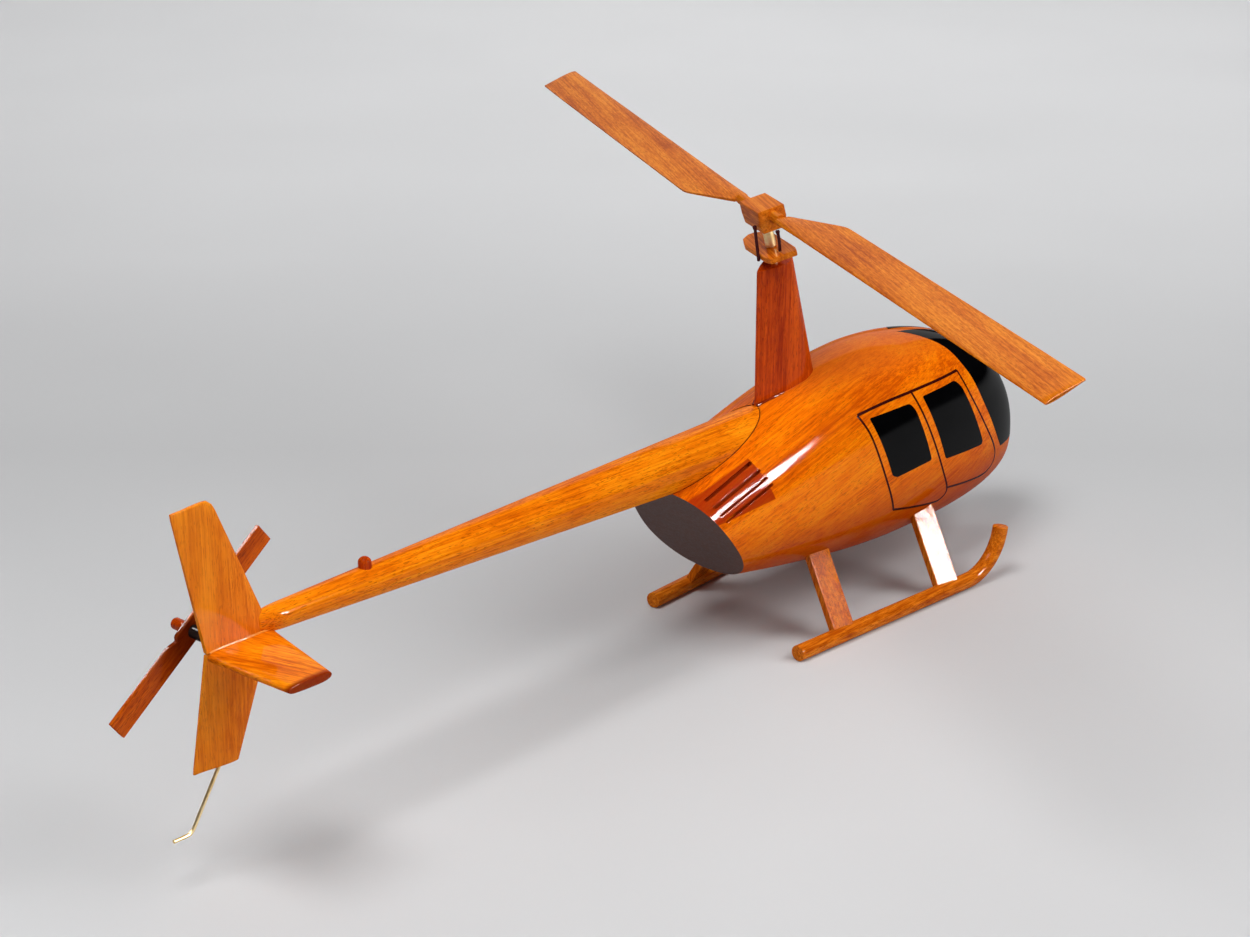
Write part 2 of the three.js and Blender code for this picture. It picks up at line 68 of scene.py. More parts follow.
ROTOR_AZIMUTH = math.radians(-116.8)
TILT = rotation("y", math.atan2(MAST[0], MAST[2])) @ rotation("x", -math.asin(MAST[1]))
SPIN = TILT @ rotation("z", ROTOR_AZIMUTH)


def rotor_frame(points, turned=False):
    """Points given along and across blade 1 (or blade 2, turned), and up the mast, in the model's frame."""
    m = SPIN @ rotation("z", math.pi) if turned else SPIN
    return HUB_AT + np.asarray(points, float) @ m.T


# ---- meshes
SHARP = math.radians(32)


def added(name, data):
    """A new object in the scene."""
    obj = bpy.data.objects.new(name, data)
    bpy.context.scene.collection.objects.link(obj)
    return obj


def make_object(name, verts, faces, material, body):
    """One mesh object with its own finish; with no body it is only a tool for carving."""
    mesh = bpy.data.meshes.new(name)
    mesh.from_pydata([tuple(v) for v in np.asarray(verts) * MM + SHIFT], [], [tuple(f) for f in faces])
    bm = bmesh.new()
    bm.from_mesh(mesh)
    bmesh.ops.remove_doubles(bm, verts=bm.verts, dist=1e-6)
    bmesh.ops.recalc_face_normals(bm, faces=bm.faces)
    bm.to_mesh(mesh)
    bm.free()
    obj = added(name, mesh)
    mesh.shade_smooth()
    mesh.set_sharp_from_angle(angle=SHARP)
    for m in material if isinstance(material, (list, tuple)) else [material]:
        mesh.materials.append(m)
    if body:
        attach(obj, body)
    return obj


def piece(name, rings, material, slot, *nodes, body="airframe", ends="flat", soft=None, flat=False):
    """A skin through rings, in its material; it stands for the CAD nodes named, if any. Its slot is not
    used.
    """
    obj = make_object(name, *skin(rings, ends), material, body)
    if soft:
        soften(obj, *soft)
    if flat:
        flatten(obj)
    if nodes:
        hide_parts(*nodes)


def skin(rings, ends="flat"):
    """Vertices and faces of a skin through rings of equal count; its ends are flat, open or joined."""
    rings = [np.asarray(r, float) for r in rings]
    n = len(rings[0])
    last = (len(rings) - 1) * n
    spans = [(start, start + n) for start in range(0, last, n)]
    if ends == "joined":
        spans.append((last, 0))
    faces = []
    for a, b in spans:
        for i in range(n):
            j = (i + 1) % n
            faces.append((a + i, a + j, b + j, b + i))
    if ends == "flat":
        faces.append(tuple(range(n))[::-1])
        faces.append(tuple(last + i for i in range(n)))
    return np.concatenate(rings), faces


def between(low, high, steps):
    return [low + (high - low) * k / steps for k in range(steps + 1)]


def inset(ring, normal, amount):
    """A planar ring drawn in by an amount, square to its own edge."""
    ring = np.asarray(ring, float)
    tangent = np.roll(ring, -1, 0) - np.roll(ring, 1, 0)
    inward = np.cross(normal, tangent)
    inward /= np.maximum(np.linalg.norm(inward, axis=1), 1e-9)[:, None]
    middle = ring.mean(0)
    if ((middle - ring) * inward).sum() < 0:
        inward = -inward
    return ring + amount * inward


def rounded_ends(rings, radius, steps=3):
    """The same rings, with a small quarter round at either end."""
    rings = [np.asarray(r, float) for r in rings]
    out = []
    for ring, nxt, front in ((rings[0], rings[1], True), (rings[-1], rings[-2], False)):
        away = ring.mean(0) - nxt.mean(0)
        away /= np.linalg.norm(away)
        caps = []
        for k in range(steps + 1):
            a = math.pi / 2 * k / steps
            drawn = inset(ring, away, radius * (1 - math.cos(a)))
            caps.append(drawn - away * radius * (1 - math.sin(a)))
        out.append(caps[::-1] if front else caps)
    return out[0] + rings[1:-1] + out[1]


def tube(path, radius, sides=24, end_round=0.0):
    """Rings of a round bar that follows a path of points; radius is a number or one for each point."""
    path = np.asarray(path, float)
    radii = np.full(len(path), float(radius)) if np.isscalar(radius) else np.asarray(radius, float)
    tangents = np.gradient(path, axis=0)
    tangents /= np.linalg.norm(tangents, axis=1)[:, None]
    side = np.cross(tangents[0], [0.0, 0.0, 1.0])
    if np.linalg.norm(side) < 0.1:
        side = np.cross(tangents[0], [0.0, 1.0, 0.0])
    rings = []
    angles = np.linspace(0, 2 * math.pi, sides, endpoint=False)
    for p, t, r in zip(path, tangents, radii):
        side = side - t * side.dot(t)
        side /= np.linalg.norm(side)
        other = np.cross(t, side)
        rings.append(p + r * (np.outer(np.cos(angles), side) + np.outer(np.sin(angles), other)))
    return rounded_ends(rings, end_round) if end_round else rings


def turned_piece(profile, origin, axis, sides=48):
    """Rings of a solid of revolution. profile is (radius, along) pairs from one end to the other."""
    axis = np.asarray(axis, float) / np.linalg.norm(axis)
    side = np.cross(axis, [0.3, 0.5, 1.0])
    side /= np.linalg.norm(side)
    other = np.cross(axis, side)
    angles = np.linspace(0, 2 * math.pi, sides, endpoint=False)
    circle = np.outer(np.cos(angles), side) + np.outer(np.sin(angles), other)
    return [np.asarray(origin) + axis * along + max(r, 1e-3) * circle for r, along in profile]


def evaluated(obj):
    """Bakes an object's modifiers into its mesh."""
    depsgraph = bpy.context.evaluated_depsgraph_get()
    mesh = bpy.data.meshes.new_from_object(obj.evaluated_get(depsgraph))
    obj.modifiers.clear()
    obj.data = mesh


def carve(obj, *tools):
    """Cuts the tools out of an object, then deletes them."""
    for i, tool in enumerate(tools):
        mod = obj.modifiers.new(f"cut_{i}", "BOOLEAN")
        mod.operation = "DIFFERENCE"
        mod.solver = "EXACT"
        mod.object = tool
    bpy.context.view_layer.update()
    evaluated(obj)
    for tool in tools:
        bpy.data.objects.remove(tool)


def soften(obj, width, segments, angle):
    """Rounds each edge sharper than an angle in degrees by a width in millimetres."""
    mod = obj.modifiers.new("soft_edges", "BEVEL")
    mod.width = width * MM
    mod.segments = segments
    mod.limit_method = "ANGLE"
    mod.angle_limit = math.radians(angle)
    bpy.context.view_layer.update()
    evaluated(obj)
    obj.data.shade_smooth()
    obj.data.set_sharp_from_angle(angle=SHARP)
    flatten(obj)


def flatten(obj):
    """Keeps flat faces flat in their shading, so that only the rounded edges bend a reflection."""
    mod = obj.modifiers.new("flat_faces", "WEIGHTED_NORMAL")
    mod.keep_sharp = True
    bpy.context.view_layer.update()
    evaluated(obj)


def prism_rings(outline, low, high, place):
    """A flat outline of (u, v) pairs raised from low to high; place maps (u, v, w) to the model's frame."""
    return [place([(u, v, w) for u, v in outline]) for w in (low, high)]


# ---- materials
class Graph:
    """A material's node tree, with short calls for the nodes used here."""

    def __init__(self, name):
        self.material = bpy.data.materials.new(name)
        self.material.use_nodes = True
        self.tree = self.material.node_tree
        self.tree.nodes.clear()
        self.shader = self.node("ShaderNodeBsdfPrincipled")
        self.node("ShaderNodeOutputMaterial", {"Surface": self.shader.outputs[0]})
        self.coords = self.node("ShaderNodeTexCoord").outputs["Object"]

    def feed(self, socket, value):
        """Links a socket to its source, or sets its value; a colour of three numbers is made opaque."""
        if isinstance(value, bpy.types.NodeSocket):
            self.tree.links.new(value, socket)
        elif socket.type == "RGBA":
            socket.default_value = (*value, 1.0)
        else:
            socket.default_value = value

    def node(self, kind, inputs=None, **settings):
        n = self.tree.nodes.new(kind)
        for key, value in settings.items():
            setattr(n, key, value)
        for key, value in (inputs or {}).items():
            self.feed(n.inputs[key], value)
        return n

    def math(self, operation, a, b=0.0, c=0.0):
        return self.node("ShaderNodeMath", {0: a, 1: b, 2: c}, operation=operation).outputs[0]

    def axes(self, vector):
        """The X, Y and Z of a vector, as three sockets."""
        return self.node("ShaderNodeSeparateXYZ", {0: vector}).outputs

    def stretched(self, turn, stretch, offset=(0.0, 0.0, 0.0)):
        """Object coordinates in millimetres, turned so that X runs along the grain, then stretched."""
        inputs = {"Vector": self.coords, "Rotation": turn, "Scale": (1 / MM, 1 / MM, 1 / MM)}
        turned = self.node("ShaderNodeMapping", inputs)
        inputs = {"Vector": turned.outputs[0], "Scale": stretch, "Location": offset}
        return self.node("ShaderNodeMapping", inputs).outputs[0]

    def noise(self, vector, detail=3.0, roughness=0.55, distortion=0.0):
        inputs = {"Vector": vector, "Scale": 1.0, "Detail": detail, "Roughness": roughness}
        return self.node("ShaderNodeTexNoise", {**inputs, "Distortion": distortion}).outputs["Fac"]

    def ramp(self, value, *stops):
        n = self.node("ShaderNodeValToRGB", {0: value})
        elements = n.color_ramp.elements
        while len(elements) < len(stops):
            elements.new(0.5)
        for element, (position, color) in zip(elements, stops):
            element.position = position
            element.color = (*color, 1.0)
        return n.outputs["Color"]

    def span(self, value, low, high, to_low=0.0, to_high=1.0):
        """A soft step: to_low at low, to_high at high."""
        inputs = {"Value": value, "From Min": low, "From Max": high, "To Min": to_low, "To Max": to_high}
        return self.node("ShaderNodeMapRange", inputs, interpolation_type="SMOOTHSTEP").outputs[0]

    def mix(self, factor, a, b, blend="MIX"):
        inputs = {0: factor, 6: a, 7: b}
        return self.node("ShaderNodeMix", inputs, data_type="RGBA", blend_type=blend).outputs[2]

    def bump(self, height, strength, distance):
        inputs = {"Height": height, "Strength": strength, "Distance": distance * MM}
        return self.node("ShaderNodeBump", inputs).outputs[0]

    def surface(self, **inputs):
        """Feeds the shader's inputs, named with _ for each space, and gives the finished material."""
        for key, value in inputs.items():
            self.feed(self.shader.inputs[key.replace("_", " ")], value)
        return self.material


LACQUER_IOR, LACQUER = 1.40, 0.26
ALONG_X = (0.0, 0.0, 0.0)
ALONG_Z = (0.0, math.radians(90), 0.0)
# The light, middle and dark tones of the grain, then its pores.
PALETTES = {
    "gold": ((0.97, 0.270, 0.004), (0.86, 0.165, 0.001), (0.60, 0.080, 0.001), (0.30, 0.030, 0.001)),
    "amber": ((0.97, 0.310, 0.006), (0.83, 0.188, 0.002), (0.57, 0.090, 0.001), (0.30, 0.034, 0.001)),
    "honey": ((0.96, 0.300, 0.014), (0.80, 0.195, 0.006), (0.62, 0.115, 0.003), (0.40, 0.050, 0.002)),
    "brown": ((0.82, 0.255, 0.016), (0.64, 0.150, 0.006), (0.41, 0.070, 0.002), (0.22, 0.026, 0.001)),
    "red": ((0.70, 0.100, 0.004), (0.54, 0.060, 0.002), (0.34, 0.026, 0.001), (0.15, 0.010, 0.001)),
    "umber": ((0.66, 0.120, 0.004), (0.48, 0.070, 0.002), (0.28, 0.026, 0.001), (0.12, 0.010, 0.001)),
}


def lacquered_wood(
    name, palette, turn=ALONG_X, offset=(0.0, 0.0, 0.0), gloss=0.05, figure=1.0, pores=1.0,
    fleck=0.28, fleck_size=(0.16, 1.0, 1.0), ripples=0.06, extra=None,
):
    """Open-pored mahogany under gloss lacquer: broad bands, fine streaks, flecks and short dark pores."""
    light, mid, dark, pore = PALETTES[palette]
    g = Graph(name)
    bands = g.noise(g.stretched(turn, (0.006, 0.10, 0.10), offset), detail=2.0, distortion=0.4)
    streaks = g.noise(g.stretched(turn, (0.020, 1.25, 1.25), offset), detail=4.0, roughness=0.7)
    flecks = g.noise(g.stretched(turn, fleck_size, offset), detail=2.0, roughness=0.5)
    cloud = g.noise(g.stretched(turn, (0.035, 0.05, 0.05), offset), detail=2.0)
    tone = g.math("MULTIPLY_ADD", bands, 0.50, g.math("MULTIPLY_ADD", streaks, 0.85, -0.175))
    tone = g.math("MULTIPLY_ADD", g.math("SUBTRACT", flecks, 0.5), fleck, tone)
    tone = g.math("MULTIPLY_ADD", g.math("SUBTRACT", cloud, 0.5), 0.3 * figure, tone)
    color = g.ramp(tone, (0.32, dark), (0.50, mid), (0.70, light))
    dashes = g.noise(g.stretched(turn, (0.42, 3.8, 3.8), offset), detail=1.0, roughness=0.4)
    where = g.noise(g.stretched(turn, (0.04, 0.25, 0.25), offset), detail=1.0)
    cut = g.math("MULTIPLY_ADD", where, -0.24, 0.72)
    pore_mask = g.span(g.math("SUBTRACT", dashes, cut), 0.0, 0.08, 0.0, 0.6 * pores)
    color = g.mix(pore_mask, color, pore)
    if extra:
        color = extra(g, color)
    ripple = g.noise(g.stretched(turn, (0.12, 0.55, 0.55), offset), detail=2.0)
    height = g.math("MULTIPLY_ADD", pore_mask, -0.35, g.math("MULTIPLY_ADD", streaks, 0.12, ripple))
    coat_height = g.math("MULTIPLY_ADD", pore_mask, -0.5, ripple)
    return g.surface(
        Base_Color=color,
        Normal=g.bump(height, 0.12, 0.12),
        Coat_Normal=g.bump(coat_height, ripples, 0.12),
        Roughness=g.span(streaks, 0.3, 0.7, 0.36, 0.5),
        Specular_IOR_Level=0.0,
        Coat_Weight=LACQUER,
        Coat_Roughness=gloss,
        Coat_IOR=LACQUER_IOR,
    )


def model_place(g):
    """X, Y and Z of the model's own frame, in millimetres, as three sockets."""
    return g.axes(g.stretched(ALONG_X, (1.0, 1.0, 1.0), tuple(-SHIFT_MM)))


def tip_stain(g, color):
    """The stabilizer's tip, where end grain has drunk more stain."""
    return g.mix(g.span(model_place(g)["Y"], -32.6, -34.9, 0.0, 0.92), color, (0.24, 0.016, 0.001))


def beyond(g, along, across, at, level, slope):
    """How far `across` is past the straight line through (at, level) that climbs by slope with `along`."""
    return g.math("MULTIPLY_ADD", along, -slope, g.math("ADD", across, slope * at - level))


def pod_stain_and_painted_shade(g, color):
    """Dark red stain over the slotted patch, bounded by ruled lines on each flank; painted shade that
    darkens and browns the belly and the roof.
    """
    place = model_place(g)
    x, z = place["X"], place["Z"]
    ahead = g.span(beyond(g, z, x, 71.0, -4.7, -0.3077), 0.0, 0.35, 1.0, 0.0)
    above = g.span(beyond(g, x, z, -25.8, 55.1, 0.114), 0.0, 0.35)
    below = g.span(beyond(g, x, z, -27.9, 64.9, 0.31), 0.0, -0.5)
    mask = g.math("MULTIPLY", g.math("MULTIPLY", ahead, above), below)
    stained = g.mix(0.86, color, (0.36, 0.022, 0.003))
    # Painted shade: the belly darkened towards the keel.
    color = g.mix(g.span(z, 54.0, 30.0, 0.0, 0.8), color, (0.34, 0.030, 0.001))
    # Painted shade: the roof darker and browner towards its top.
    color = g.mix(g.span(z, 81.0, 91.0, 0.0, 0.6), color, (0.52, 0.105, 0.012))
    return g.mix(mask, color, stained)


def tail_rotor_painted_shade(g, color):
    """Painted shade: the tail rotor's half beside the hub darkened to a deeper red."""
    hub_along = float(rotation("y", TAIL_ROTOR_ANGLE)[0] @ (TAIL_ROTOR_FACE + SHIFT_MM))
    along = g.axes(g.stretched((0.0, TAIL_ROTOR_ANGLE, 0.0), (1.0, 1.0, 1.0), (-hub_along, 0.0, 0.0)))["X"]
    mask = g.math("MULTIPLY", g.span(along, -26.0, -8.0), g.span(along, 3.0, 0.0))
    return g.mix(g.math("MULTIPLY", mask, 0.75), color, (0.13, 0.010, 0.002))


def turned_by(x=0.0, y=0.0, z=0.0):
    """A grain's direction, from angles in degrees."""
    return tuple(math.radians(a) for a in (x, y, z))


BLADE_TURN = (0.0, 0.0, math.radians(6) - ROTOR_AZIMUTH)
WOOD_POD = lacquered_wood("mahogany_pod", "gold", turned_by(y=15), pores=0.8, extra=pod_stain_and_painted_shade)
WOOD_BOOM = lacquered_wood("mahogany_boom", "amber", turned_by(y=-0.7, z=1), (3.0, 7.0, 1.0))
WOOD_TAIL = lacquered_wood("mahogany_tail", "honey", ALONG_Z, (9.0, 2.0, 5.0), figure=1.6, pores=0.7)
WOOD_STAB = lacquered_wood(
    "mahogany_stabilizer", "amber", turned_by(z=72), (1.0, 5.0, 2.0), pores=0.5, fleck=0.5, extra=tip_stain,
)
WOOD_SKID = lacquered_wood("mahogany_skid", "brown", offset=(5.0, 1.0, 8.0), fleck=0.5)
WOOD_STRUT = lacquered_wood("mahogany_strut", "brown", ALONG_Z, (2.0, 6.0, 4.0), fleck=0.5, ripples=0.3)
WOOD_BLADE = lacquered_wood(
    "mahogany_blade", "brown", BLADE_TURN, (4.0, 3.0, 3.0), gloss=0.10, pores=0.6, fleck=0.42,
    fleck_size=(0.3, 1.6, 1.6),
)
WOOD_HUB = lacquered_wood("mahogany_hub", "brown", BLADE_TURN, (7.0, 1.0, 3.0), pores=0.4)
WOOD_PYLON = lacquered_wood("mahogany_pylon", "red", ALONG_Z, (6.0, 9.0, 1.0), figure=0.6)
WOOD_TAIL_ROTOR = lacquered_wood(
    "mahogany_tail_rotor", "umber", (0.0, TAIL_ROTOR_ANGLE, 0.0), (8.0, 4.0, 1.0), extra=tail_rotor_painted_shade,
)


def sawn_face():
    g = Graph("sawn_wood")
    fine = g.noise(g.stretched(ALONG_X, (0.5, 0.9, 1.4)), detail=5.0, roughness=0.7)
    saw = g.noise(g.stretched(turned_by(y=35), (0.05, 0.08, 1.1)), detail=1.0)
    tone = g.math("MULTIPLY_ADD", saw, 0.3, g.math("MULTIPLY", fine, 0.7))
    return g.surface(
        Base_Color=g.ramp(tone, (0.3, (0.050, 0.018, 0.013)), (0.7, (0.095, 0.037, 0.028))),
        Roughness=g.span(fine, 0.3, 0.7, 0.5, 0.7),
        Normal=g.bump(fine, 0.25, 0.1),
    )


def gloss_paint(name, low, high, roughness=0.08, coat=LACQUER):
    g = Graph(name)
    cloud = g.noise(g.stretched(ALONG_X, (0.08, 0.08, 0.08)), detail=3.0)
    ripple = g.noise(g.stretched(ALONG_X, (0.3, 0.3, 0.3)), detail=1.0)
    return g.surface(
        Base_Color=g.ramp(cloud, (0.3, low), (0.7, high)),
        Roughness=g.span(cloud, 0.3, 0.7, 0.3, 0.4),
        Specular_IOR_Level=0.0,
        Coat_Normal=g.bump(ripple, 0.05, 0.08),
        Coat_Weight=coat,
        Coat_Roughness=roughness,
        Coat_IOR=LACQUER_IOR,
    )


def brass_metal():
    g = Graph("brass")
    scuff = g.noise(g.stretched(ALONG_X, (0.6, 0.6, 2.6)), detail=5.0, roughness=0.7)
    tarnish = g.noise(g.stretched(ALONG_X, (0.25, 0.25, 0.25)), detail=2.0)
    return g.surface(
        Base_Color=g.ramp(tarnish, (0.3, (0.66, 0.43, 0.17)), (0.65, (0.90, 0.70, 0.38))),
        Metallic=1.0,
        Roughness=g.span(scuff, 0.3, 0.7, 0.34, 0.5),
        Normal=g.bump(scuff, 0.15, 0.04),
    )


def bare_wood():
    g = Graph("bare_dowel_wood")
    fibres = g.noise(g.stretched(ALONG_X, (0.1, 1.6, 1.6)), detail=4.0)
    return g.surface(
        Base_Color=g.ramp(fibres, (0.3, (0.42, 0.25, 0.12)), (0.7, (0.66, 0.46, 0.27))),
        Roughness=g.span(fibres, 0.3, 0.7, 0.55, 0.75),
        Normal=g.bump(fibres, 0.2, 0.1),
    )


SAWN = sawn_face()
BLACK = gloss_paint("gloss_black", (0.0008, 0.0008, 0.001), (0.002, 0.002, 0.0025))
LINE = gloss_paint("door_line_paint", (0.028, 0.002, 0.002), (0.045, 0.004, 0.003), 0.12)
SEAM = gloss_paint("seam_filler", (0.075, 0.008, 0.002), (0.16, 0.020, 0.004), 0.1)
MAROON = gloss_paint("maroon_wire", (0.045, 0.006, 0.006), (0.085, 0.012, 0.010), 0.1)
GEARBOX = gloss_paint("gearbox_black", (0.010, 0.007, 0.007), (0.025, 0.015, 0.013), 0.15)
GLUE = gloss_paint("glue", (0.16, 0.012, 0.002), (0.30, 0.030, 0.004), 0.02, 1.0)
PALE_GLUE = gloss_paint("pale_glue", (0.80, 0.26, 0.03), (0.90, 0.36, 0.06), 0.05, 1.0)
BRASS = brass_metal()
BARE = bare_wood()

# ---- pod
PEAK_X, NOSE_X = 75.0, 162.08
ROOF_Z, KEEL_Z, NOSE_Z, WAIST_Z, HALF_WIDTH, FULLNESS = 92.3, 16.5, 37.6, 47.0, 28.2, 2.28
CUT_LOW_X, CUT_LOW_Z, CUT_LEAN = -6.6, 26.0, math.radians(35)
CUT_NORMAL = np.array([-math.cos(CUT_LEAN), 0.0, -math.sin(CUT_LEAN)])


def pod_section(x):
    back = np.maximum(0.0, PEAK_X - x)
    ahead = np.clip((x - PEAK_X) / (NOSE_X - PEAK_X), 0.0, 1.0)

    def close(power):
        return np.maximum(1 - ahead**power, 0.0) ** (1 / power)

    waist = WAIST_Z + (NOSE_Z - WAIST_Z) * ahead - 0.012 * back
    half = (HALF_WIDTH - 3.6 * (back / PEAK_X) ** 2.02) * close(2.2)
    top = (ROOF_Z - 14.8 * (back / PEAK_X) ** 1.67 - waist) * close(2.0)
    bottom = (waist - KEEL_Z - 9.2 * (back / PEAK_X) ** 1.47) * close(3.2)
    return waist, half, top, bottom


def pod_point(x, angle):
    waist, half, top, bottom = pod_section(x)
    c, s = np.cos(angle), np.sin(angle)
    across = np.sign(c) * np.abs(c) ** (2 / FULLNESS)
    up = np.sign(s) * np.abs(s) ** (2 / FULLNESS)
    return np.stack([x + 0 * across, half * across, waist + up * np.where(up > 0, top, bottom)], -1)


def pod_normal(x, angle):
    step = 1e-3
    along = pod_point(x + step, angle) - pod_point(x - step, angle)
    around = pod_point(x, angle + step) - pod_point(x, angle - step)
    normal = np.cross(around, along)
    length = np.linalg.norm(normal, axis=-1)[..., None]
    return -normal / np.maximum(length, 1e-12)


def height_angle(x, z):
    """The angle at which the pod's section at a station reaches a height, on its left side."""
    waist, _, top, bottom = pod_section(x)
    share = np.clip((z - waist) / np.where(z > waist, top, bottom), -1.0, 1.0)
    return np.arcsin(np.sign(share) * np.abs(share) ** (FULLNESS / 2))


def flank(x, z, side, proud=0.0):
    """The point of the pod's skin at a station and height, raised by a little; side is 1 left, -1 right."""
    x, z = np.asarray(x, float), np.asarray(z, float)
    angle = height_angle(x, z)
    if side < 0:
        angle = math.pi - angle
    p, n = pod_point(x, angle), pod_normal(x, angle)
    outward = np.sign(n[..., 1] * side + 1e-9)[..., None]
    return p + proud * n * outward


def pod_mesh():
    """The pod's skin, from the slanting sawn face at its rear to the nose."""
    around, rear_steps, nose_steps = 176, 84, 64
    angles = np.linspace(0, 2 * math.pi, around, endpoint=False)
    start = np.full(around, -20.0)
    for _ in range(60):
        z = pod_point(start, angles)[:, 2]
        start = 0.5 * start + 0.5 * (CUT_LOW_X - math.tan(CUT_LEAN) * (z - CUT_LOW_Z))
    rings = [pod_point(start + (PEAK_X - start) * k / rear_steps, angles) for k in range(rear_steps)]
    for k in range(nose_steps):
        x = PEAK_X + (NOSE_X - PEAK_X) * math.sin(math.pi / 2 * k / nose_steps)
        rings.append(pod_point(x + 0 * angles, angles))
    face = rings[0]
    rings = [inset(face, CUT_NORMAL, 1.4), inset(face, CUT_NORMAL, 0.34)] + rings
    verts, faces = skin(rings, "open")
    tip, last = len(verts), (len(rings) - 1) * around
    verts = np.vstack([verts, [[NOSE_X, 0.0, NOSE_Z]], [face.mean(0)]])
    faces += [(last + i, last + (i + 1) % around, tip) for i in range(around)]
    faces += [((i + 1) % around, i, tip + 1) for i in range(around)]
    return verts, faces


BOOM_TAIL, BOOM_FRONT = -213.0, 24.0
BOOM_TAIL_R, BOOM_FRONT_R = 3.9, 10.75
BOOM_FADE = 8.0


def boom_axis(x):
    return np.array([x, 0.0, 71.9 - 0.0125 * x])


def boom_radius(x):
    return BOOM_TAIL_R + (BOOM_FRONT_R - BOOM_TAIL_R) * (x - BOOM_TAIL) / (BOOM_FRONT - BOOM_TAIL)


def boom_rings(grow=0.0, tail=BOOM_TAIL, fade=True, steps=120):
    """Rings of the boom's cone; with fade, its tail narrows to half its width between the fins."""
    angles = np.linspace(0, 2 * math.pi, 96, endpoint=False)
    rings = []
    for x in between(tail, BOOM_FRONT, steps):
        r = boom_radius(x) + grow
        narrow = 1.0
        if fade:
            t = min(max((x - BOOM_TAIL) / BOOM_FADE, 0.0), 1.0)
            narrow = 0.5 + 0.5 * t * t * (3 - 2 * t)
        ring = np.stack([0 * angles, narrow * r * np.cos(angles), r * np.sin(angles)], -1)
        rings.append(boom_axis(x) + ring)
    return rings


VENT = dict(
    count=4, length=24.7, kerf=1.25, depth=2.4, rise=16.5, mid_x=-16.1, step_x=1.37, top_z=66.9, step_z=2.5,
)


def vent_tool(side, i):
    v = VENT
    x, z = v["mid_x"] + v["step_x"] * i, v["top_z"] - v["step_z"] * i
    at = flank(x, z, side)
    normal = flank(x, z, side, 1.0) - at
    rise = math.radians(v["rise"])
    along = np.array([math.cos(rise), 0.0, math.sin(rise)])
    along -= normal * along.dot(normal)
    along /= np.linalg.norm(along)
    across = np.cross(normal, along)
    half, k = v["length"] / 2, v["kerf"] / 2
    outline = []
    for end in (1, -1):
        for a in np.linspace(-math.pi / 2, math.pi / 2, 9):
            outline.append((end * (half - k + k * math.cos(a)), end * k * math.sin(a)))
    rings = [[at + along * u + across * t + normal * w for u, t in outline] for w in (-v["depth"], 3.0)]
    return make_object(f"tool_vent_{i}_{side}", *skin(rings), SAWN, None)


pod = make_object("pod", *pod_mesh(), [WOOD_POD, SAWN], "airframe")
socket = boom_rings(grow=0.16, tail=-60.0, fade=False, steps=24)
tools = [make_object("tool_boom", *skin(socket), SAWN, None)]
tools += [vent_tool(side, i) for side, _ in SIDES for i in range(VENT["count"])]
carve(pod, *tools)
soften(pod, 0.16, 2, 50.0)
for polygon in pod.data.polygons:
    on_plane = polygon.normal.dot(Vector(CUT_NORMAL)) > 0.995
    polygon.material_index = 1 if on_plane and polygon.center.x < SHIFT[0] else 0
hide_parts("fuselage_pod")
piece("boom", rounded_ends(boom_rings(), 0.3), WOOD_BOOM, "lacquered_mahogany", "tail_boom")


def boom_seam(side, word):
    """The dark joint line where the boom sinks into the pod's back."""
    path = []
    for x in np.linspace(-30.0, 15.0, 91):
        waist, half, top, _ = (float(v) for v in pod_section(x))
        radius, middle = boom_radius(x), boom_axis(x)[2]

        def outside(angle):
            y, z = radius * math.sin(angle), middle + radius * math.cos(angle)
            return (abs(y) / half) ** FULLNESS + (max(z - waist, 0.0) / top) ** FULLNESS > 1.0

        low, high = 0.0, math.pi
        if not outside(low):
            break
        for _ in range(30):
            angle = (low + high) / 2
            low, high = (angle, high) if outside(angle) else (low, angle)
        path.append((x, side * radius * math.sin(low), middle + radius * math.cos(low)))
    piece(f"boom_seam_{word}", tube(path, 0.17, 10, 0.1), SEAM, "maroon_wire")


for side, word in SIDES:
    boom_seam(side, word)


# ---- paint on the pod: windows, windshield and door lines
def smooth_path(points, step=0.8):
    """A Catmull-Rom path through points, at about that spacing."""
    p = np.asarray(points, float)
    out = []
    for i in range(len(p) - 1):
        a, b, c, d = p[max(i - 1, 0)], p[i], p[i + 1], p[min(i + 2, len(p) - 1)]
        count = max(2, int(np.linalg.norm(c - b) / step))
        square, cube = 2 * a - 5 * b + 4 * c - d, 3 * b - 3 * c + d - a
        for t in np.arange(count) / count:
            out.append(0.5 * (2 * b + (c - a) * t + square * t**2 + cube * t**3))
    return np.array(out + [p[-1]])


def rounded_corners(points, radii, step=0.5):
    """A closed outline with each corner rounded to its radius."""
    p = np.asarray(points, float)
    out = []
    for i, r in enumerate(radii):
        a, b, c = p[i - 1], p[i], p[(i + 1) % len(p)]
        u, w = (a - b) / np.linalg.norm(a - b), (c - b) / np.linalg.norm(c - b)
        for t in np.linspace(0, 1, 8):
            out.append((1 - t) ** 2 * (b + u * r) + 2 * t * (1 - t) * b + t**2 * (b + w * r))
    dense = []
    for i, q in enumerate(out):
        nxt = out[(i + 1) % len(out)]
        count = max(1, int(np.linalg.norm(nxt - q) / step))
        dense += [q + (nxt - q) * k / count for k in range(count)]
    return np.array(dense)


PAINT_PROUD, PAINT_DEPTH = 0.06, 0.12


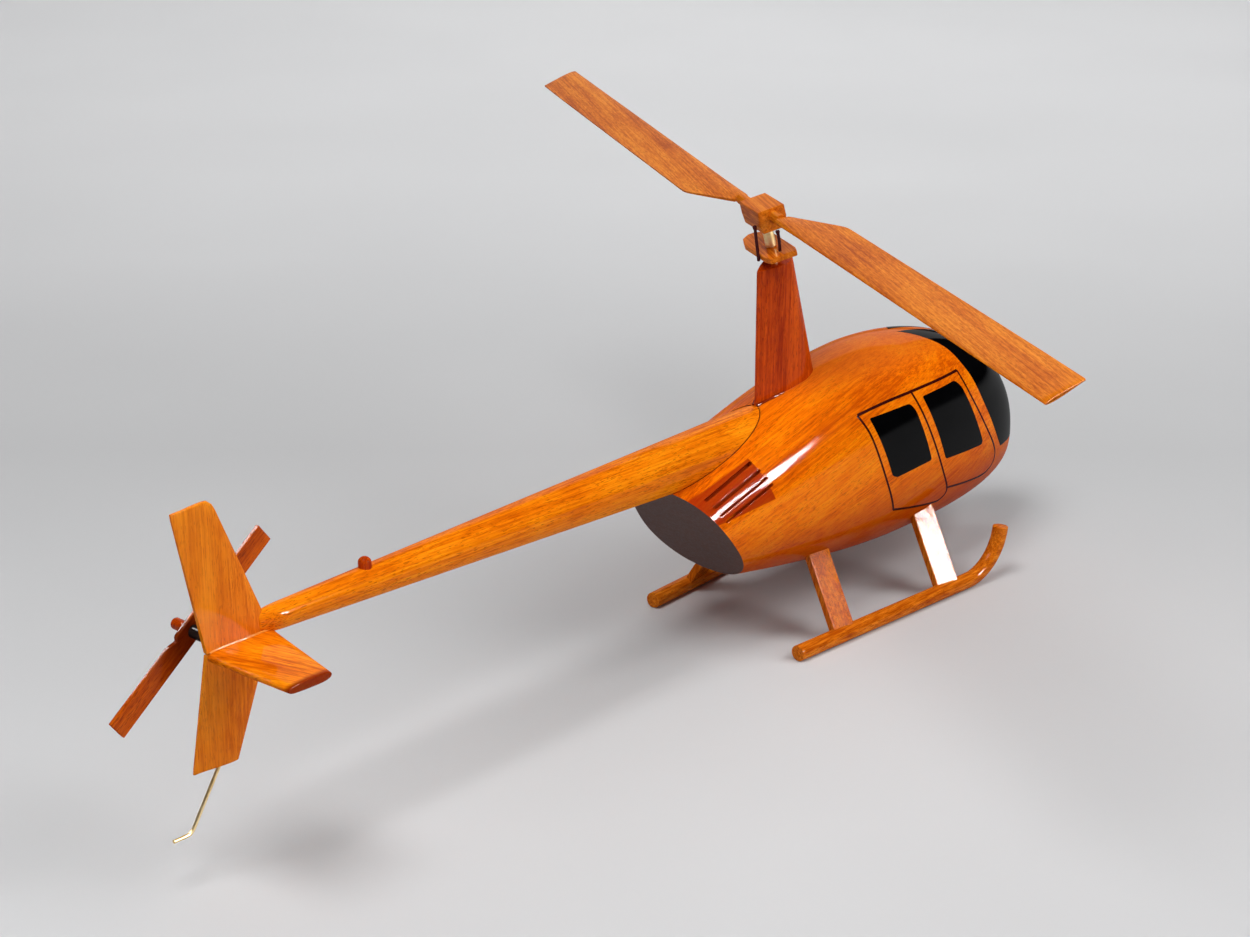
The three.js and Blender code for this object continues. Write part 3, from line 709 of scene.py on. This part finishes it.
def paint_patch(name, outline, side, spacing=1.3):
    """A closed film of black paint on the flank, inside an outline of (station, height) pairs."""
    low, high = outline.min(0), outline.max(0)
    grid = [(x, z) for x in np.arange(low[0], high[0], spacing) for z in np.arange(low[1], high[1], spacing)]
    clear = [g for g in grid if np.min(np.linalg.norm(outline - np.array(g), axis=1)) > 0.45 * spacing]
    points = [Vector(p) for p in outline] + [Vector(p) for p in clear]
    loop = list(range(len(outline)))
    flat, _, tris, _, _, _ = delaunay_2d_cdt(points, [], [loop], 1, 1e-5)
    flat = np.array([tuple(p) for p in flat])
    outer = flank(flat[:, 0], flat[:, 1], side, PAINT_PROUD)
    inner = flank(flat[:, 0], flat[:, 1], side, -PAINT_DEPTH)
    n = len(flat)
    edges = dict.fromkeys((a, b) for t in tris for a, b in zip(t, t[1:] + t[:1]))
    rim = [(a, b) for (a, b) in edges if (b, a) not in edges]
    faces = [tuple(t) for t in tris] + [tuple(n + v for v in reversed(t)) for t in tris]
    faces += [(b, a, n + a, n + b) for a, b in rim]
    obj = make_object(name, np.vstack([outer, inner]), faces, BLACK, "airframe")


def paint_line(name, path, side, width, proud=0.05):
    """A fine painted line along a path of (station, height) pairs on the flank."""
    x, z = path.T
    at = flank(x, z, side)
    normal = flank(x, z, side, 1.0) - at
    ahead = np.gradient(at, axis=0)
    ahead /= np.linalg.norm(ahead, axis=1)[:, None]
    across = np.cross(normal, ahead)
    half = width / 2
    edge = [(-half, -PAINT_DEPTH), (-half, 0.4 * proud), (-0.6 * half, proud)]
    section = edge + [(-u, w) for u, w in reversed(edge)]
    rings = [[at[i] + across[i] * u + normal[i] * w for u, w in section] for i in range(len(path))]
    piece(name, rings, LINE, "maroon_wire")


# Stations and heights on the flank: each window's corners with their radii, and the door's lines.
WINDOWS = {
    "rear_window": (
        [(51.0, 73.7), (73.4, 73.7), (75.8, 71.0), (83.0, 50.3), (62.2, 49.4), (59.6, 50.7)],
        (1.0, 1.5, 1.5, 1.2, 0.9, 0.9),
    ),
    "front_window": (
        [(81.5, 74.2), (103.8, 74.2), (107.2, 71.2), (119.0, 47.0), (118.0, 45.9), (92.0, 48.1)],
        (1.0, 1.8, 1.8, 0.6, 0.6, 1.2),
    ),
}
DOOR_LINES = {
    "top": [(45.9, 75.9), (60.5, 76.9), (76.0, 77.2), (92.0, 77.0), (107.6, 76.7)],
    "front": [
        (107.6, 76.7), (113.1, 65.3), (120.8, 53.4), (128.6, 43.0), (130.9, 38.1), (130.2, 34.5),
        (127.2, 32.4), (121.6, 31.9), (108.0, 33.6), (94.9, 35.6),
    ],
    "divider": [
        (76.0, 77.0), (78.8, 70.7), (84.6, 56.9), (91.0, 43.0), (94.9, 35.9), (95.2, 32.9),
        (92.6, 31.2), (88.6, 31.2), (76.0, 33.4), (62.2, 36.5),
    ],
    "rear": [(45.7, 75.8), (47.4, 73.0), (49.7, 68.1), (52.9, 58.6), (56.4, 49.6), (62.2, 36.5)],
}
WINDSHIELD_REAR = [
    (93.6, 91.15), (95.1, 90.85), (99.0, 89.6), (104.1, 87.1), (109.0, 83.5), (112.8, 78.0),
    (116.9, 71.3), (121.6, 61.5), (128.0, 51.1), (133.0, 43.5), (136.1, 39.4),
]

for side, word in SIDES:
    for name, (corners, radii) in WINDOWS.items():
        paint_patch(f"{name}_{word}", rounded_corners(corners, radii), side)
    for line, path in DOOR_LINES.items():
        paint_line(f"door_line_{line}_{word}", smooth_path(path), side, 1.05 if line == "top" else 0.95)


def windshield(side, word, post=1.25, columns=64):
    """Half of the black windshield, from the curved rear edge to the nose, with a wooden post left bare."""
    x, z = smooth_path(WINDSHIELD_REAR, 0.9).T
    start = np.arcsin(np.clip((x - PEAK_X) / (NOSE_X - PEAK_X), 0, 1))[:, None]
    reach = start + (math.pi / 2 * 0.988 - start) * np.linspace(0, 1, columns)
    stations = PEAK_X + (NOSE_X - PEAK_X) * np.sin(reach)
    _, half, _, _ = pod_section(stations)
    least = np.arccos(np.clip((post / np.maximum(half, post)) ** (FULLNESS / 2), 0, 1))
    around = np.minimum(height_angle(x, z)[:, None], least)
    p, n = pod_point(stations, around), pod_normal(stations, around)
    n *= np.sign((n * (p - np.array([PEAK_X, 0, WAIST_Z]))).sum(-1, keepdims=True))
    mirror = [1, side, 1]
    outer, inner = (p + PAINT_PROUD * n) * mirror, (p - PAINT_DEPTH * n) * mirror
    count = stations.size
    number = np.arange(count).reshape(stations.shape)
    quads = np.stack([number[:-1, :-1], number[1:, :-1], number[1:, 1:], number[:-1, 1:]], -1)
    faces = []
    for quad in quads.reshape(-1, 4).tolist():
        faces += [quad, [count + v for v in reversed(quad)]]
    rim = [*number[0], *number[1:, -1], *number[-1, -2::-1], *number[-2:0:-1, 0]]
    faces += [(a, b, count + b, count + a) for a, b in zip(rim, rim[1:] + rim[:1])]
    verts = np.vstack([outer.reshape(-1, 3), inner.reshape(-1, 3)])
    obj = make_object(f"windshield_{word}", verts, faces, BLACK, "airframe")


for side, word in SIDES:
    windshield(side, word)

# ---- tail
def section_half(back, thick, full=0.0):
    """Half a lens section's thickness at a share of the chord from its front; full makes it squarer."""
    half = 0.5 * thick * (1.68 * np.sqrt(back) - 0.62 * back - 2.1 * back**2 + 1.17 * back**3)
    half = half + 0.055 * thick * back
    board = 0.5 * thick * (1 - np.abs(2 * back - 1) ** 6) ** 0.5
    return half + full * (board - half)


def wing_ring(place, rear, front, thick, full=0.0, points=28):
    """A lens-shaped section with a round front edge and a blunt rear edge."""
    back = (1 - np.cos(np.linspace(0, math.pi, points))) / 2
    half = section_half(back, thick, full)
    chord = front - rear
    upper = [place(front - b * chord, h) for b, h in zip(back, half)]
    lower = [place(front - b * chord, -h) for b, h in zip(back[:0:-1], half[:0:-1])]
    return np.array(upper + lower)


FIN_FRONT, FIN_REAR, FIN_THICK = -207.6, -232.2, 6.4
STABILIZER_Z, STABILIZER_FULL = 70.0, 0.6


def fin_rings(root, tip, front_sweep, rear_sweep, tip_thick, tip_lean, steps, tip_round=0.0):
    """A fin from its root height to its tip, swept back and thinner with distance from the boom."""
    rings = []
    for z in between(root, tip, steps):
        away, out = abs(z - root), (z - root) / (tip - root)
        rear = FIN_REAR - rear_sweep * away
        corner = max(0.0, (away - abs(tip - root) + 3.0) / 3.0)
        front = FIN_FRONT - front_sweep * away - tip_round * corner**2
        thick = FIN_THICK + (tip_thick - FIN_THICK) * out
        rings.append(wing_ring(lambda x, y: (x, y, z + tip_lean * out * (x - rear)), rear, front, thick))
    return rings


def stabilizer_rings():
    tip = -35.2
    rings = []
    for y in between(-1.0, tip, 22):
        out = y / tip
        front, rear = -206.6 - 8.0 * out, -232.6 + 1.6 * out
        thick = 5.4 + (3.6 - 5.4) * out
        rings.append(wing_ring(lambda x, z: (x, y, STABILIZER_Z + z), rear, front, thick, STABILIZER_FULL))
    return rings


for name, rings, material, node in (
    ("upper_fin_wood", fin_rings(71.2, 117.6, 0.427, 0.2135, 2.6, 0.06, 26, 1.5), WOOD_TAIL, "upper_fin"),
    ("lower_fin_wood", fin_rings(70.9, 34.6, 0.405, 0.196, 2.4, -0.07, 22), WOOD_TAIL, "lower_fin"),
    ("stabilizer_wood", stabilizer_rings(), WOOD_STAB, "horizontal_stabilizer"),
):
    piece(name, rounded_ends(rings, 0.3), material, "lacquered_mahogany", node)

# A bead of glue in the corner between the fin and the stabilizer's upper face.
corner = []
for share in np.linspace(0.05, 0.96, 40):
    y = -section_half(share, FIN_THICK) - 0.1
    corner.append((-206.8 - 25.6 * share, y, STABILIZER_Z + section_half(share, 5.2, STABILIZER_FULL) + 0.1))
piece("stabilizer_glue", tube(corner, 0.36, 12, 0.15), PALE_GLUE, "lacquered_mahogany")

TAIL_WIRE = [
    (-225.5, 0, 40.5), (-230.5, 0, 32.7), (-236.0, 0, 24.2), (-240.0, 0, 18.0), (-240.8, 0, 16.9),
    (-241.8, 0, 16.2), (-243.0, 0, 16.0), (-248.1, 0, 16.0),
]
piece("tail_wire", tube(smooth_path(TAIL_WIRE, 0.5), 0.6, 20, 0.12), BRASS, "brass", "tail_skid_wire")

BEACON_X, BEACON_R, DOME_Z = -169.4, 2.1, 2.6
dome = [(0.0, -1.5), (BEACON_R, -1.5), (BEACON_R, DOME_Z)]
dome += [(BEACON_R * math.cos(a), DOME_Z + 1.9 * math.sin(a)) for a in np.linspace(0.15, math.pi / 2, 10)]
beacon_foot = boom_axis(BEACON_X) + np.array([0, 0, 4.0])
piece("beacon", turned_piece(dome, beacon_foot, (0, 0, 1)), WOOD_PYLON, "dark_mahogany", "beacon_light")

# ---- tail rotor
def tail_rotor_outline(half=36.7, w=3.55, waist=2.7):
    """Both blades and the scooped waist between them; each half is the other turned round."""
    scoop = [
        (3.2, -w), (4.4, -w + 0.05), (5.1, -w + 0.45), (5.6, -waist + 0.4), (6.4, -waist + 0.25),
        (7.6, -waist - 0.2), (9.4, -w),
    ]
    one = [(-half, -w)] + scoop + [(half, -w)]
    return one + [(-x, -y) for x, y in one]


def tail_rotor_place(points):
    """Points given along the blades, across them and outward, in the model's frame."""
    c, s = math.cos(TAIL_ROTOR_ANGLE), math.sin(TAIL_ROTOR_ANGLE)
    return TAIL_ROTOR_FACE + np.asarray(points, float) @ np.array([[c, 0, s], [-s, 0, c], [0, 1, 0]])


blades = prism_rings(tail_rotor_outline(), 0.0, TAIL_ROTOR_THICK, tail_rotor_place)
piece(
    "tail_rotor_blades_wood", blades, WOOD_TAIL_ROTOR, "dark_mahogany", "tail_rotor",
    body="tail_rotor_blades", soft=(0.3, 3, 30.0),
)
midline = TAIL_ROTOR_FACE * [1, 0, 1]
gear = [(0.0, -0.2), (1.8, -0.2), (2.1, 0.1), (2.1, 8.4), (1.8, 8.7), (0.0, 8.7)]
piece("gearbox", turned_piece(gear, midline, (0, 1, 0)), GEARBOX, "black_plastic", "tail_gearbox")
peg = [(0.0, 10.8), (1.85, 10.8), (1.85, 16.7), (1.7, 17.05), (1.4, 17.2), (0.0, 17.2)]
piece("rotor_peg", turned_piece(peg, midline, (0, 1, 0)), WOOD_PYLON, "dark_mahogany", "tail_rotor_peg")

# ---- landing gear
SKID_R, HALF_TRACK, TOE_OUT = 2.9, 34.0, math.radians(3.43)
STRAIGHT, BEND_R, BEND = 92.5, 18.6, math.radians(84)


def skid_path():
    points = [(x, 0.0, 0.0) for x in np.linspace(0, STRAIGHT, 60)]
    for a in np.linspace(0, BEND, 36)[1:]:
        points.append((STRAIGHT + BEND_R * math.sin(a), 0.0, BEND_R * (1 - math.cos(a))))
    return np.array(points)


STRUT_IN, STRUT_AHEAD, STRUT_THICK, STRUT_RISE = 0.6, 0.115, 3.0, 31.5
STRUTS = {"front": dict(x=81.0, width=10.2, turn=0.215), "rear": dict(x=24.0, width=9.8, turn=0.13)}


def place_skid(points, side):
    """Points given along a runner from its heel, in the model's frame, toed out."""
    p = np.asarray(points, float) @ rotation("z", side * TOE_OUT).T
    return p + [0.0, side * HALF_TRACK, SKID_R - 0.2]


def strut_rings(side, x, width, turn, corner=0.45):
    """A flat leg that leans inward and a little forward, its broad face turned towards the tail."""
    axis = np.array([STRUT_AHEAD, -side * STRUT_IN, 1.0])
    outward = -side * np.cross([1.0, side * turn, 0.0], axis)
    outward /= np.linalg.norm(outward)
    across = np.cross(outward, axis / np.linalg.norm(axis))
    foot = np.array([x, side * (HALF_TRACK + math.tan(TOE_OUT) * x), SKID_R])
    w, t = width / 2 - corner, STRUT_THICK / 2 - corner
    section = []
    for cx, cy, start in ((w, t, 0), (-w, t, 90), (-w, -t, 180), (w, -t, 270)):
        for a in np.radians(np.linspace(start, start + 90, 6)):
            section.append((cx + corner * math.cos(a)) * across + (cy + corner * math.sin(a)) * outward)
    return [foot + axis * up + np.array(section) for up in between(1.2, STRUT_RISE, 12)]


for side, word in SIDES:
    rings = [place_skid(r, side) for r in rounded_ends(tube(skid_path(), SKID_R, 40), 0.3)]
    rings = [np.column_stack([r[:, 0], r[:, 1], np.maximum(r[:, 2], 0.0)]) for r in rings]
    piece(f"runner_{word}", rings, WOOD_SKID, "dark_mahogany", f"skid_{word}")
    for place, size in STRUTS.items():
        rings = strut_rings(side, **size)
        node = f"strut_{place}_{word}"
        piece(f"leg_{place}_{word}", rings, WOOD_STRUT, "dark_mahogany", node, flat=True)

# ---- mast fairing
PYLON_REAR, PYLON_TOP_NOSE, PYLON_FOOT_NOSE, PYLON_HALF = 15.4, 32.0, 50.1, 4.6
PYLON_FOOT_Z, PYLON_TOP_Z, PYLON_TOP_SLOPE = 74.0, 131.3, math.tan(math.radians(9))
PYLON_WIDEST = 0.68


def pylon_rings():
    """Teardrop sections with the point at the rear, each tilted a little more towards the sloping top."""
    along = np.linspace(0, 1, 26)
    share = np.interp(along, [0, 0.12, 0.3, 0.5, PYLON_WIDEST], [0.07, 0.32, 0.66, 0.92, 1.0])
    nose_share = np.sqrt(np.maximum(1 - ((along - PYLON_WIDEST) / (1 - PYLON_WIDEST)) ** 2, 0))
    share = np.where(along > PYLON_WIDEST, nose_share, share)
    rings = []
    for t in between(0.0, 1.0, 30):
        z = PYLON_FOOT_Z + (PYLON_TOP_Z - PYLON_FOOT_Z) * t
        length = PYLON_FOOT_NOSE + (PYLON_TOP_NOSE - PYLON_FOOT_NOSE) * t - PYLON_REAR
        climb = PYLON_TOP_SLOPE * t * length
        ring = [(PYLON_REAR + a * length, s * PYLON_HALF, z + climb * a) for a, s in zip(along, share)]
        ring += [(x, -y, height) for x, y, height in ring[-2::-1]]
        rings.append(np.array(ring))
    return rings


piece("pylon", rounded_ends(pylon_rings(), 0.25), WOOD_PYLON, "dark_mahogany", "mast_fairing", flat=True)


def pod_or_boom_top(x, y):
    """Height of the wood under the pylon at a place."""
    waist, half, top, _ = pod_section(np.array(x))
    pod_z = waist + top * (1 - (abs(y) / half) ** FULLNESS) ** (1 / FULLNESS)
    boom_z = boom_axis(x)[2] + math.sqrt(max(boom_radius(x) ** 2 - y**2, 0)) if x < BOOM_FRONT else 0.0
    return max(float(pod_z), boom_z)


def glue_bead(side, word):
    """Clear glue squeezed out along the foot of the pylon, lumpy, thickest at the rear."""
    outline = pylon_rings()[4][:10] * [1, side, 1]
    path = smooth_path([(x, y + side * 0.3, pod_or_boom_top(x, abs(y)) + 0.25) for x, y, _ in outline], 0.35)
    rng = np.random.default_rng(7 + side)
    marks = np.arange(0, len(path) + 4, 4)
    lumps = np.interp(np.arange(len(path)), marks, rng.uniform(0.2, 0.75, len(marks)))
    lumps *= np.interp(np.arange(len(path)) / len(path), [0, 0.35, 1.0], [1.7, 1.1, 0.3])
    piece(f"glue_bead_{word}", tube(path, lumps, 14, 0.12), GLUE, "dark_mahogany")


for side, word in SIDES:
    glue_bead(side, word)

# ---- main rotor
HUB = dict(length=16.8, width=10.0, top=3.0, knee=-1.0, bottom=-5.1, bottom_width=9.0)
RADIUS, CONE = 220.9, math.radians(0.7)


def mast_ring(name, profile, body, node):
    """A brass ring turned on the mast; profile is (radius, height) pairs that close round a bore."""
    rings = [rotor_frame(r) for r in turned_piece(profile, (0, 0, 0), (0, 0, 1))]
    piece(name, rings, BRASS, "brass", node, body=body, ends="joined")


def hub_rings():
    h = HUB
    half = [(h["width"] / 2, h["top"]), (h["width"] / 2, h["knee"]), (h["bottom_width"] / 2, h["bottom"])]
    section = [(-y, z) for y, z in half] + half[::-1]
    return [rotor_frame([(end * h["length"] / 2, y, z) for y, z in section]) for end in (-1, 1)]


piece(
    "hub_block", hub_rings(), WOOD_HUB, "lacquered_mahogany", "rotor_hub",
    body="main_rotor", soft=(0.35, 3, 20.0),
)


def blade_rings(root):
    """A blade from its narrow root to its raked tip, coned up; its rear edge breaks near the root."""
    c, s = math.cos(CONE), math.sin(CONE)
    front_root, front_tip, back_root, back_break, back_tip, break_at = 2.0, 8.1, 3.3, 12.7, 7.7, 43.0
    blend, rake_depth, rake_from = 0.45, 5.7, RADIUS - 30
    stops = [
        *np.linspace(root, break_at - 3, 12),
        *np.linspace(break_at - 2.4, break_at + 3, 8),
        *np.linspace(break_at + 8, RADIUS, 44),
    ]
    rings = []
    for along in stops:
        out = (along - root) / (RADIUS - root)
        front = front_root + (front_tip - front_root) * out
        inner = back_root + (back_break - back_root) * (along - root) / (break_at - root)
        outer = back_break + (back_tip - back_break) * (along - break_at) / (RADIUS - break_at)
        back = -blend * math.log(math.exp(-inner / blend) + math.exp(-outer / blend))
        thick = 4.0 - 1.0 * min((along - root) / (break_at - root), 1.0) - 0.6 * out
        rake = rake_depth * max(0.0, (along - rake_from) / 30)

        def place(ahead, up):
            u = along - rake * (front_tip - ahead) / (front_tip + back_tip)
            return (u * c - up * s, -ahead, u * s + up * c)

        rings.append(wing_ring(place, -back, front, thick))
    return rings


for number, root in ((1, 15.0), (2, 18.3)):
    turned = number == 2
    rings = [rotor_frame(r, turned) for r in rounded_ends(blade_rings(root), 0.3)]
    piece(f"blade_{number}", rings, WOOD_BLADE, "dark_mahogany", f"main_blade_{number}", body="main_rotor")
    stub = [(0.0, 5.0), (2.0, 5.0), (2.0, root - 0.1), (1.2, root - 0.1), (1.2, root + 4), (0.0, root + 4)]
    rings = [rotor_frame(r, turned) for r in turned_piece(stub, (0, 0.6, 0), (1, 0, 0))]
    node = f"blade_peg_{number}"
    piece(f"blade_stub_{number}", rings, WOOD_HUB, "lacquered_mahogany", node, body="main_rotor")

PLATE_TOP, PLATE_THICK, PLATE_HALF = -13.4, 2.1, 5.9
PLATE = [(11.0, 0.84), (7.5, 1.0), (-10.5, 1.0), (-16.3, 0.7), (-18.7, 0.2)]
near_edge = [(u, w * PLATE_HALF) for u, w in PLATE]
outline = near_edge + [(u, -w) for u, w in reversed(near_edge)]
plate = prism_rings(outline, PLATE_TOP - PLATE_THICK, PLATE_TOP, rotor_frame)
piece(
    "swash_plate", plate, WOOD_HUB, "lacquered_mahogany", "swashplate",
    body="main_rotor", soft=(0.35, 3, 20.0),
)

LINKS = {
    1: [(4.6, -5.85, -2.4), (4.5, -5.85, -4.0), (4.3, -6.1, -7.0), (4.0, -6.4, -11.0), (3.6, -6.75, -15.5)],
    2: [(7.8, 0.8, -5.4), (8.0, 0.7, -7.0), (8.0, 0.6, -9.0), (7.8, 0.4, -11.0), (7.5, 0.2, -13.1)],
}
for i, points in LINKS.items():
    path = smooth_path([rotor_frame([p])[0] for p in points], 0.4)
    radii = 0.55 + 0.22 * np.exp(-((np.linalg.norm(path - path[0], axis=1) - 0.6) / 0.6) ** 2)
    rings = tube(path, radii, 20, 0.25)
    piece(f"link_{i}", rings, MAROON, "maroon_wire", f"pitch_link_{i}", body="main_rotor")

BORE = 1.4
sleeve = [(BORE, -13.1), (1.75, -13.1), (1.9, -12.9), (1.9, -5.6), (1.75, -5.4), (BORE, -5.4)]
mast_ring("sleeve", sleeve, "main_rotor", "mast_sleeve")
washer = [(BORE, -18.3), (2.5, -18.3), (2.7, -18.1), (2.7, -16.0), (2.5, -15.8), (BORE, -15.8)]
mast_ring("washer", washer, "airframe", "mast_washer")

# ---- CAD pieces that stay, with finer finishes
for node, material in {
    "mast_rod": BRASS, "tail_rotor_pin": BRASS, "boom_dowel": BARE, "fairing_dowel": BARE,
}.items():
    materials = frame["nodes"][node].data.materials
    materials.clear()
    materials.append(material)


# ---- studio
def to_world(point_mm):
    return Vector(np.asarray(point_mm, float) * MM + SHIFT)


CAMERA_AT, LOOK_AT = (-688.8, -584.6, 411.0), (-1.6, 46.3, 51.5)
camera_data = bpy.data.cameras.new("camera")
camera_data.lens, camera_data.sensor_width = 79.81, 36.0
camera = added("camera", camera_data)
camera.location = to_world(CAMERA_AT)
camera.rotation_euler = (to_world(LOOK_AT) - to_world(CAMERA_AT)).to_track_quat("-Z", "Y").to_euler()
bpy.context.scene.camera = camera

# The heading the camera looks along.
VIEW_AZIMUTH = math.atan2(0.6311, 0.6873)
# Painted light and shade on the paper: its tone by distance from the middle in metres, away from the camera.
PAPER_PAINTED_LIGHT = {
    -0.4: 0.73, -0.11: 0.75, 0.04: 0.69, 0.22: 0.625, 0.34: 0.675, 0.50: 0.765, 0.66: 0.79, 1.2: 0.75,
}
PAPER_NEAR, PAPER_FAR = min(PAPER_PAINTED_LIGHT), max(PAPER_PAINTED_LIGHT)


def backdrop_material():
    """Pale paper, with painted light and shade: its grey darker and lighter from near to far."""
    g = Graph("backdrop_paper")
    cloud = g.noise(g.stretched(ALONG_X, (0.004, 0.004, 0.004)), detail=2.0)
    color = g.ramp(cloud, (0.3, (0.855, 0.858, 0.870)), (0.7, (0.890, 0.893, 0.905)))
    place = g.axes(g.coords)
    c, s = math.cos(VIEW_AZIMUTH), math.sin(VIEW_AZIMUTH)
    depth = g.math("MULTIPLY_ADD", place["Y"], s, g.math("MULTIPLY", place["X"], c))
    share = g.math("DIVIDE", g.math("SUBTRACT", depth, PAPER_NEAR), PAPER_FAR - PAPER_NEAR)
    stops = [((at - PAPER_NEAR) / (PAPER_FAR - PAPER_NEAR), (tone,) * 3) for at, tone in PAPER_PAINTED_LIGHT.items()]
    color = g.mix(1.0, color, g.ramp(share, *stops), "MULTIPLY")
    return g.surface(Base_Color=color, Roughness=0.9, Specular_IOR_Level=0.1)


def studio_floor(half=4.0):
    """A wide flat sheet of the paper, just under the skids."""
    mesh = bpy.data.meshes.new("studio_floor")
    corners = [(-half, -half), (half, -half), (half, half), (-half, half)]
    mesh.from_pydata([(x, y, -0.0002) for x, y in corners], [], [(0, 1, 2, 3)])
    mesh.materials.append(backdrop_material())
    added("studio_floor", mesh)


studio_floor()


CENTRE = (0.05, -0.02, 0.06)


def toward(azimuth, elevation, distance=1.0):
    """The place at angles in degrees and a distance in metres from the model's middle."""
    a, e = math.radians(azimuth), math.radians(elevation)
    flat = math.cos(e)
    return Vector(CENTRE) + distance * Vector((flat * math.cos(a), flat * math.sin(a), math.sin(e)))


def softbox(name, at, aim, size, energy, along=(0.0, 0.0, 1.0), glossy=True, diffuse=True):
    """A soft light at a place, facing a point; its first side runs along the direction given."""
    data = bpy.data.lights.new(name, "AREA")
    data.shape = "RECTANGLE"
    data.size, data.size_y = size
    data.energy = energy
    back = (Vector(at) - Vector(aim)).normalized()
    side = (Vector(along) - Vector(along).dot(back) * back).normalized()
    obj = added(name, data)
    obj.matrix_world = Matrix((side, back.cross(side), back)).transposed().to_4x4()
    obj.location = at
    obj.visible_glossy = glossy
    obj.visible_diffuse = diffuse
    obj.visible_camera = False
    return obj


def stage_point(right, depth, height):
    """A place in the studio: metres to the camera's right, away from the camera, and up."""
    c, s = math.cos(VIEW_AZIMUTH), math.sin(VIEW_AZIMUTH)
    return Vector((depth * c + right * s, depth * s - right * c, height))


softbox("key_above", toward(184, 65, 1.08), CENTRE, (0.5, 0.5), 7.4)
strip_low, strip_high = toward(-57.0, 20.5, 6.0), toward(-70.0, 28.0, 6.0)
softbox("side_strip", (strip_low + strip_high) / 2, CENTRE, ((strip_high - strip_low).length, 0.90), 600.0,
        along=strip_high - strip_low, diffuse=False)
softbox("side_fill", toward(-66, 42, 2.2), CENTRE, (1.6, 1.6), 34.0, glossy=False)
softbox("sheen_ahead", toward(43, 22, 2.4), CENTRE, (2.4, 1.4), 9.5, along=toward(133, 0), diffuse=False)
softbox("rim_behind", toward(109, 40, 2.0), CENTRE, (0.42, 0.42), 26.0, diffuse=False)
floor_light = softbox(
    "floor_light", stage_point(0.0, 1.25, 1.5), stage_point(0.0, 1.25, 0.0), (1.6, 0.8), 5.0,
    along=stage_point(1, 0, 0), glossy=False,
)
floor_light.data.spread = math.radians(84)

world = bpy.data.worlds.new("studio")
world.use_nodes = True
world.node_tree.nodes["Background"].inputs[0].default_value = (0.96, 0.97, 1.0, 1.0)
world.node_tree.nodes["Background"].inputs[1].default_value = 0.07
world.cycles_visibility.glossy = False
bpy.context.scene.world = world
bpy.context.scene.view_settings.view_transform = "Standard"
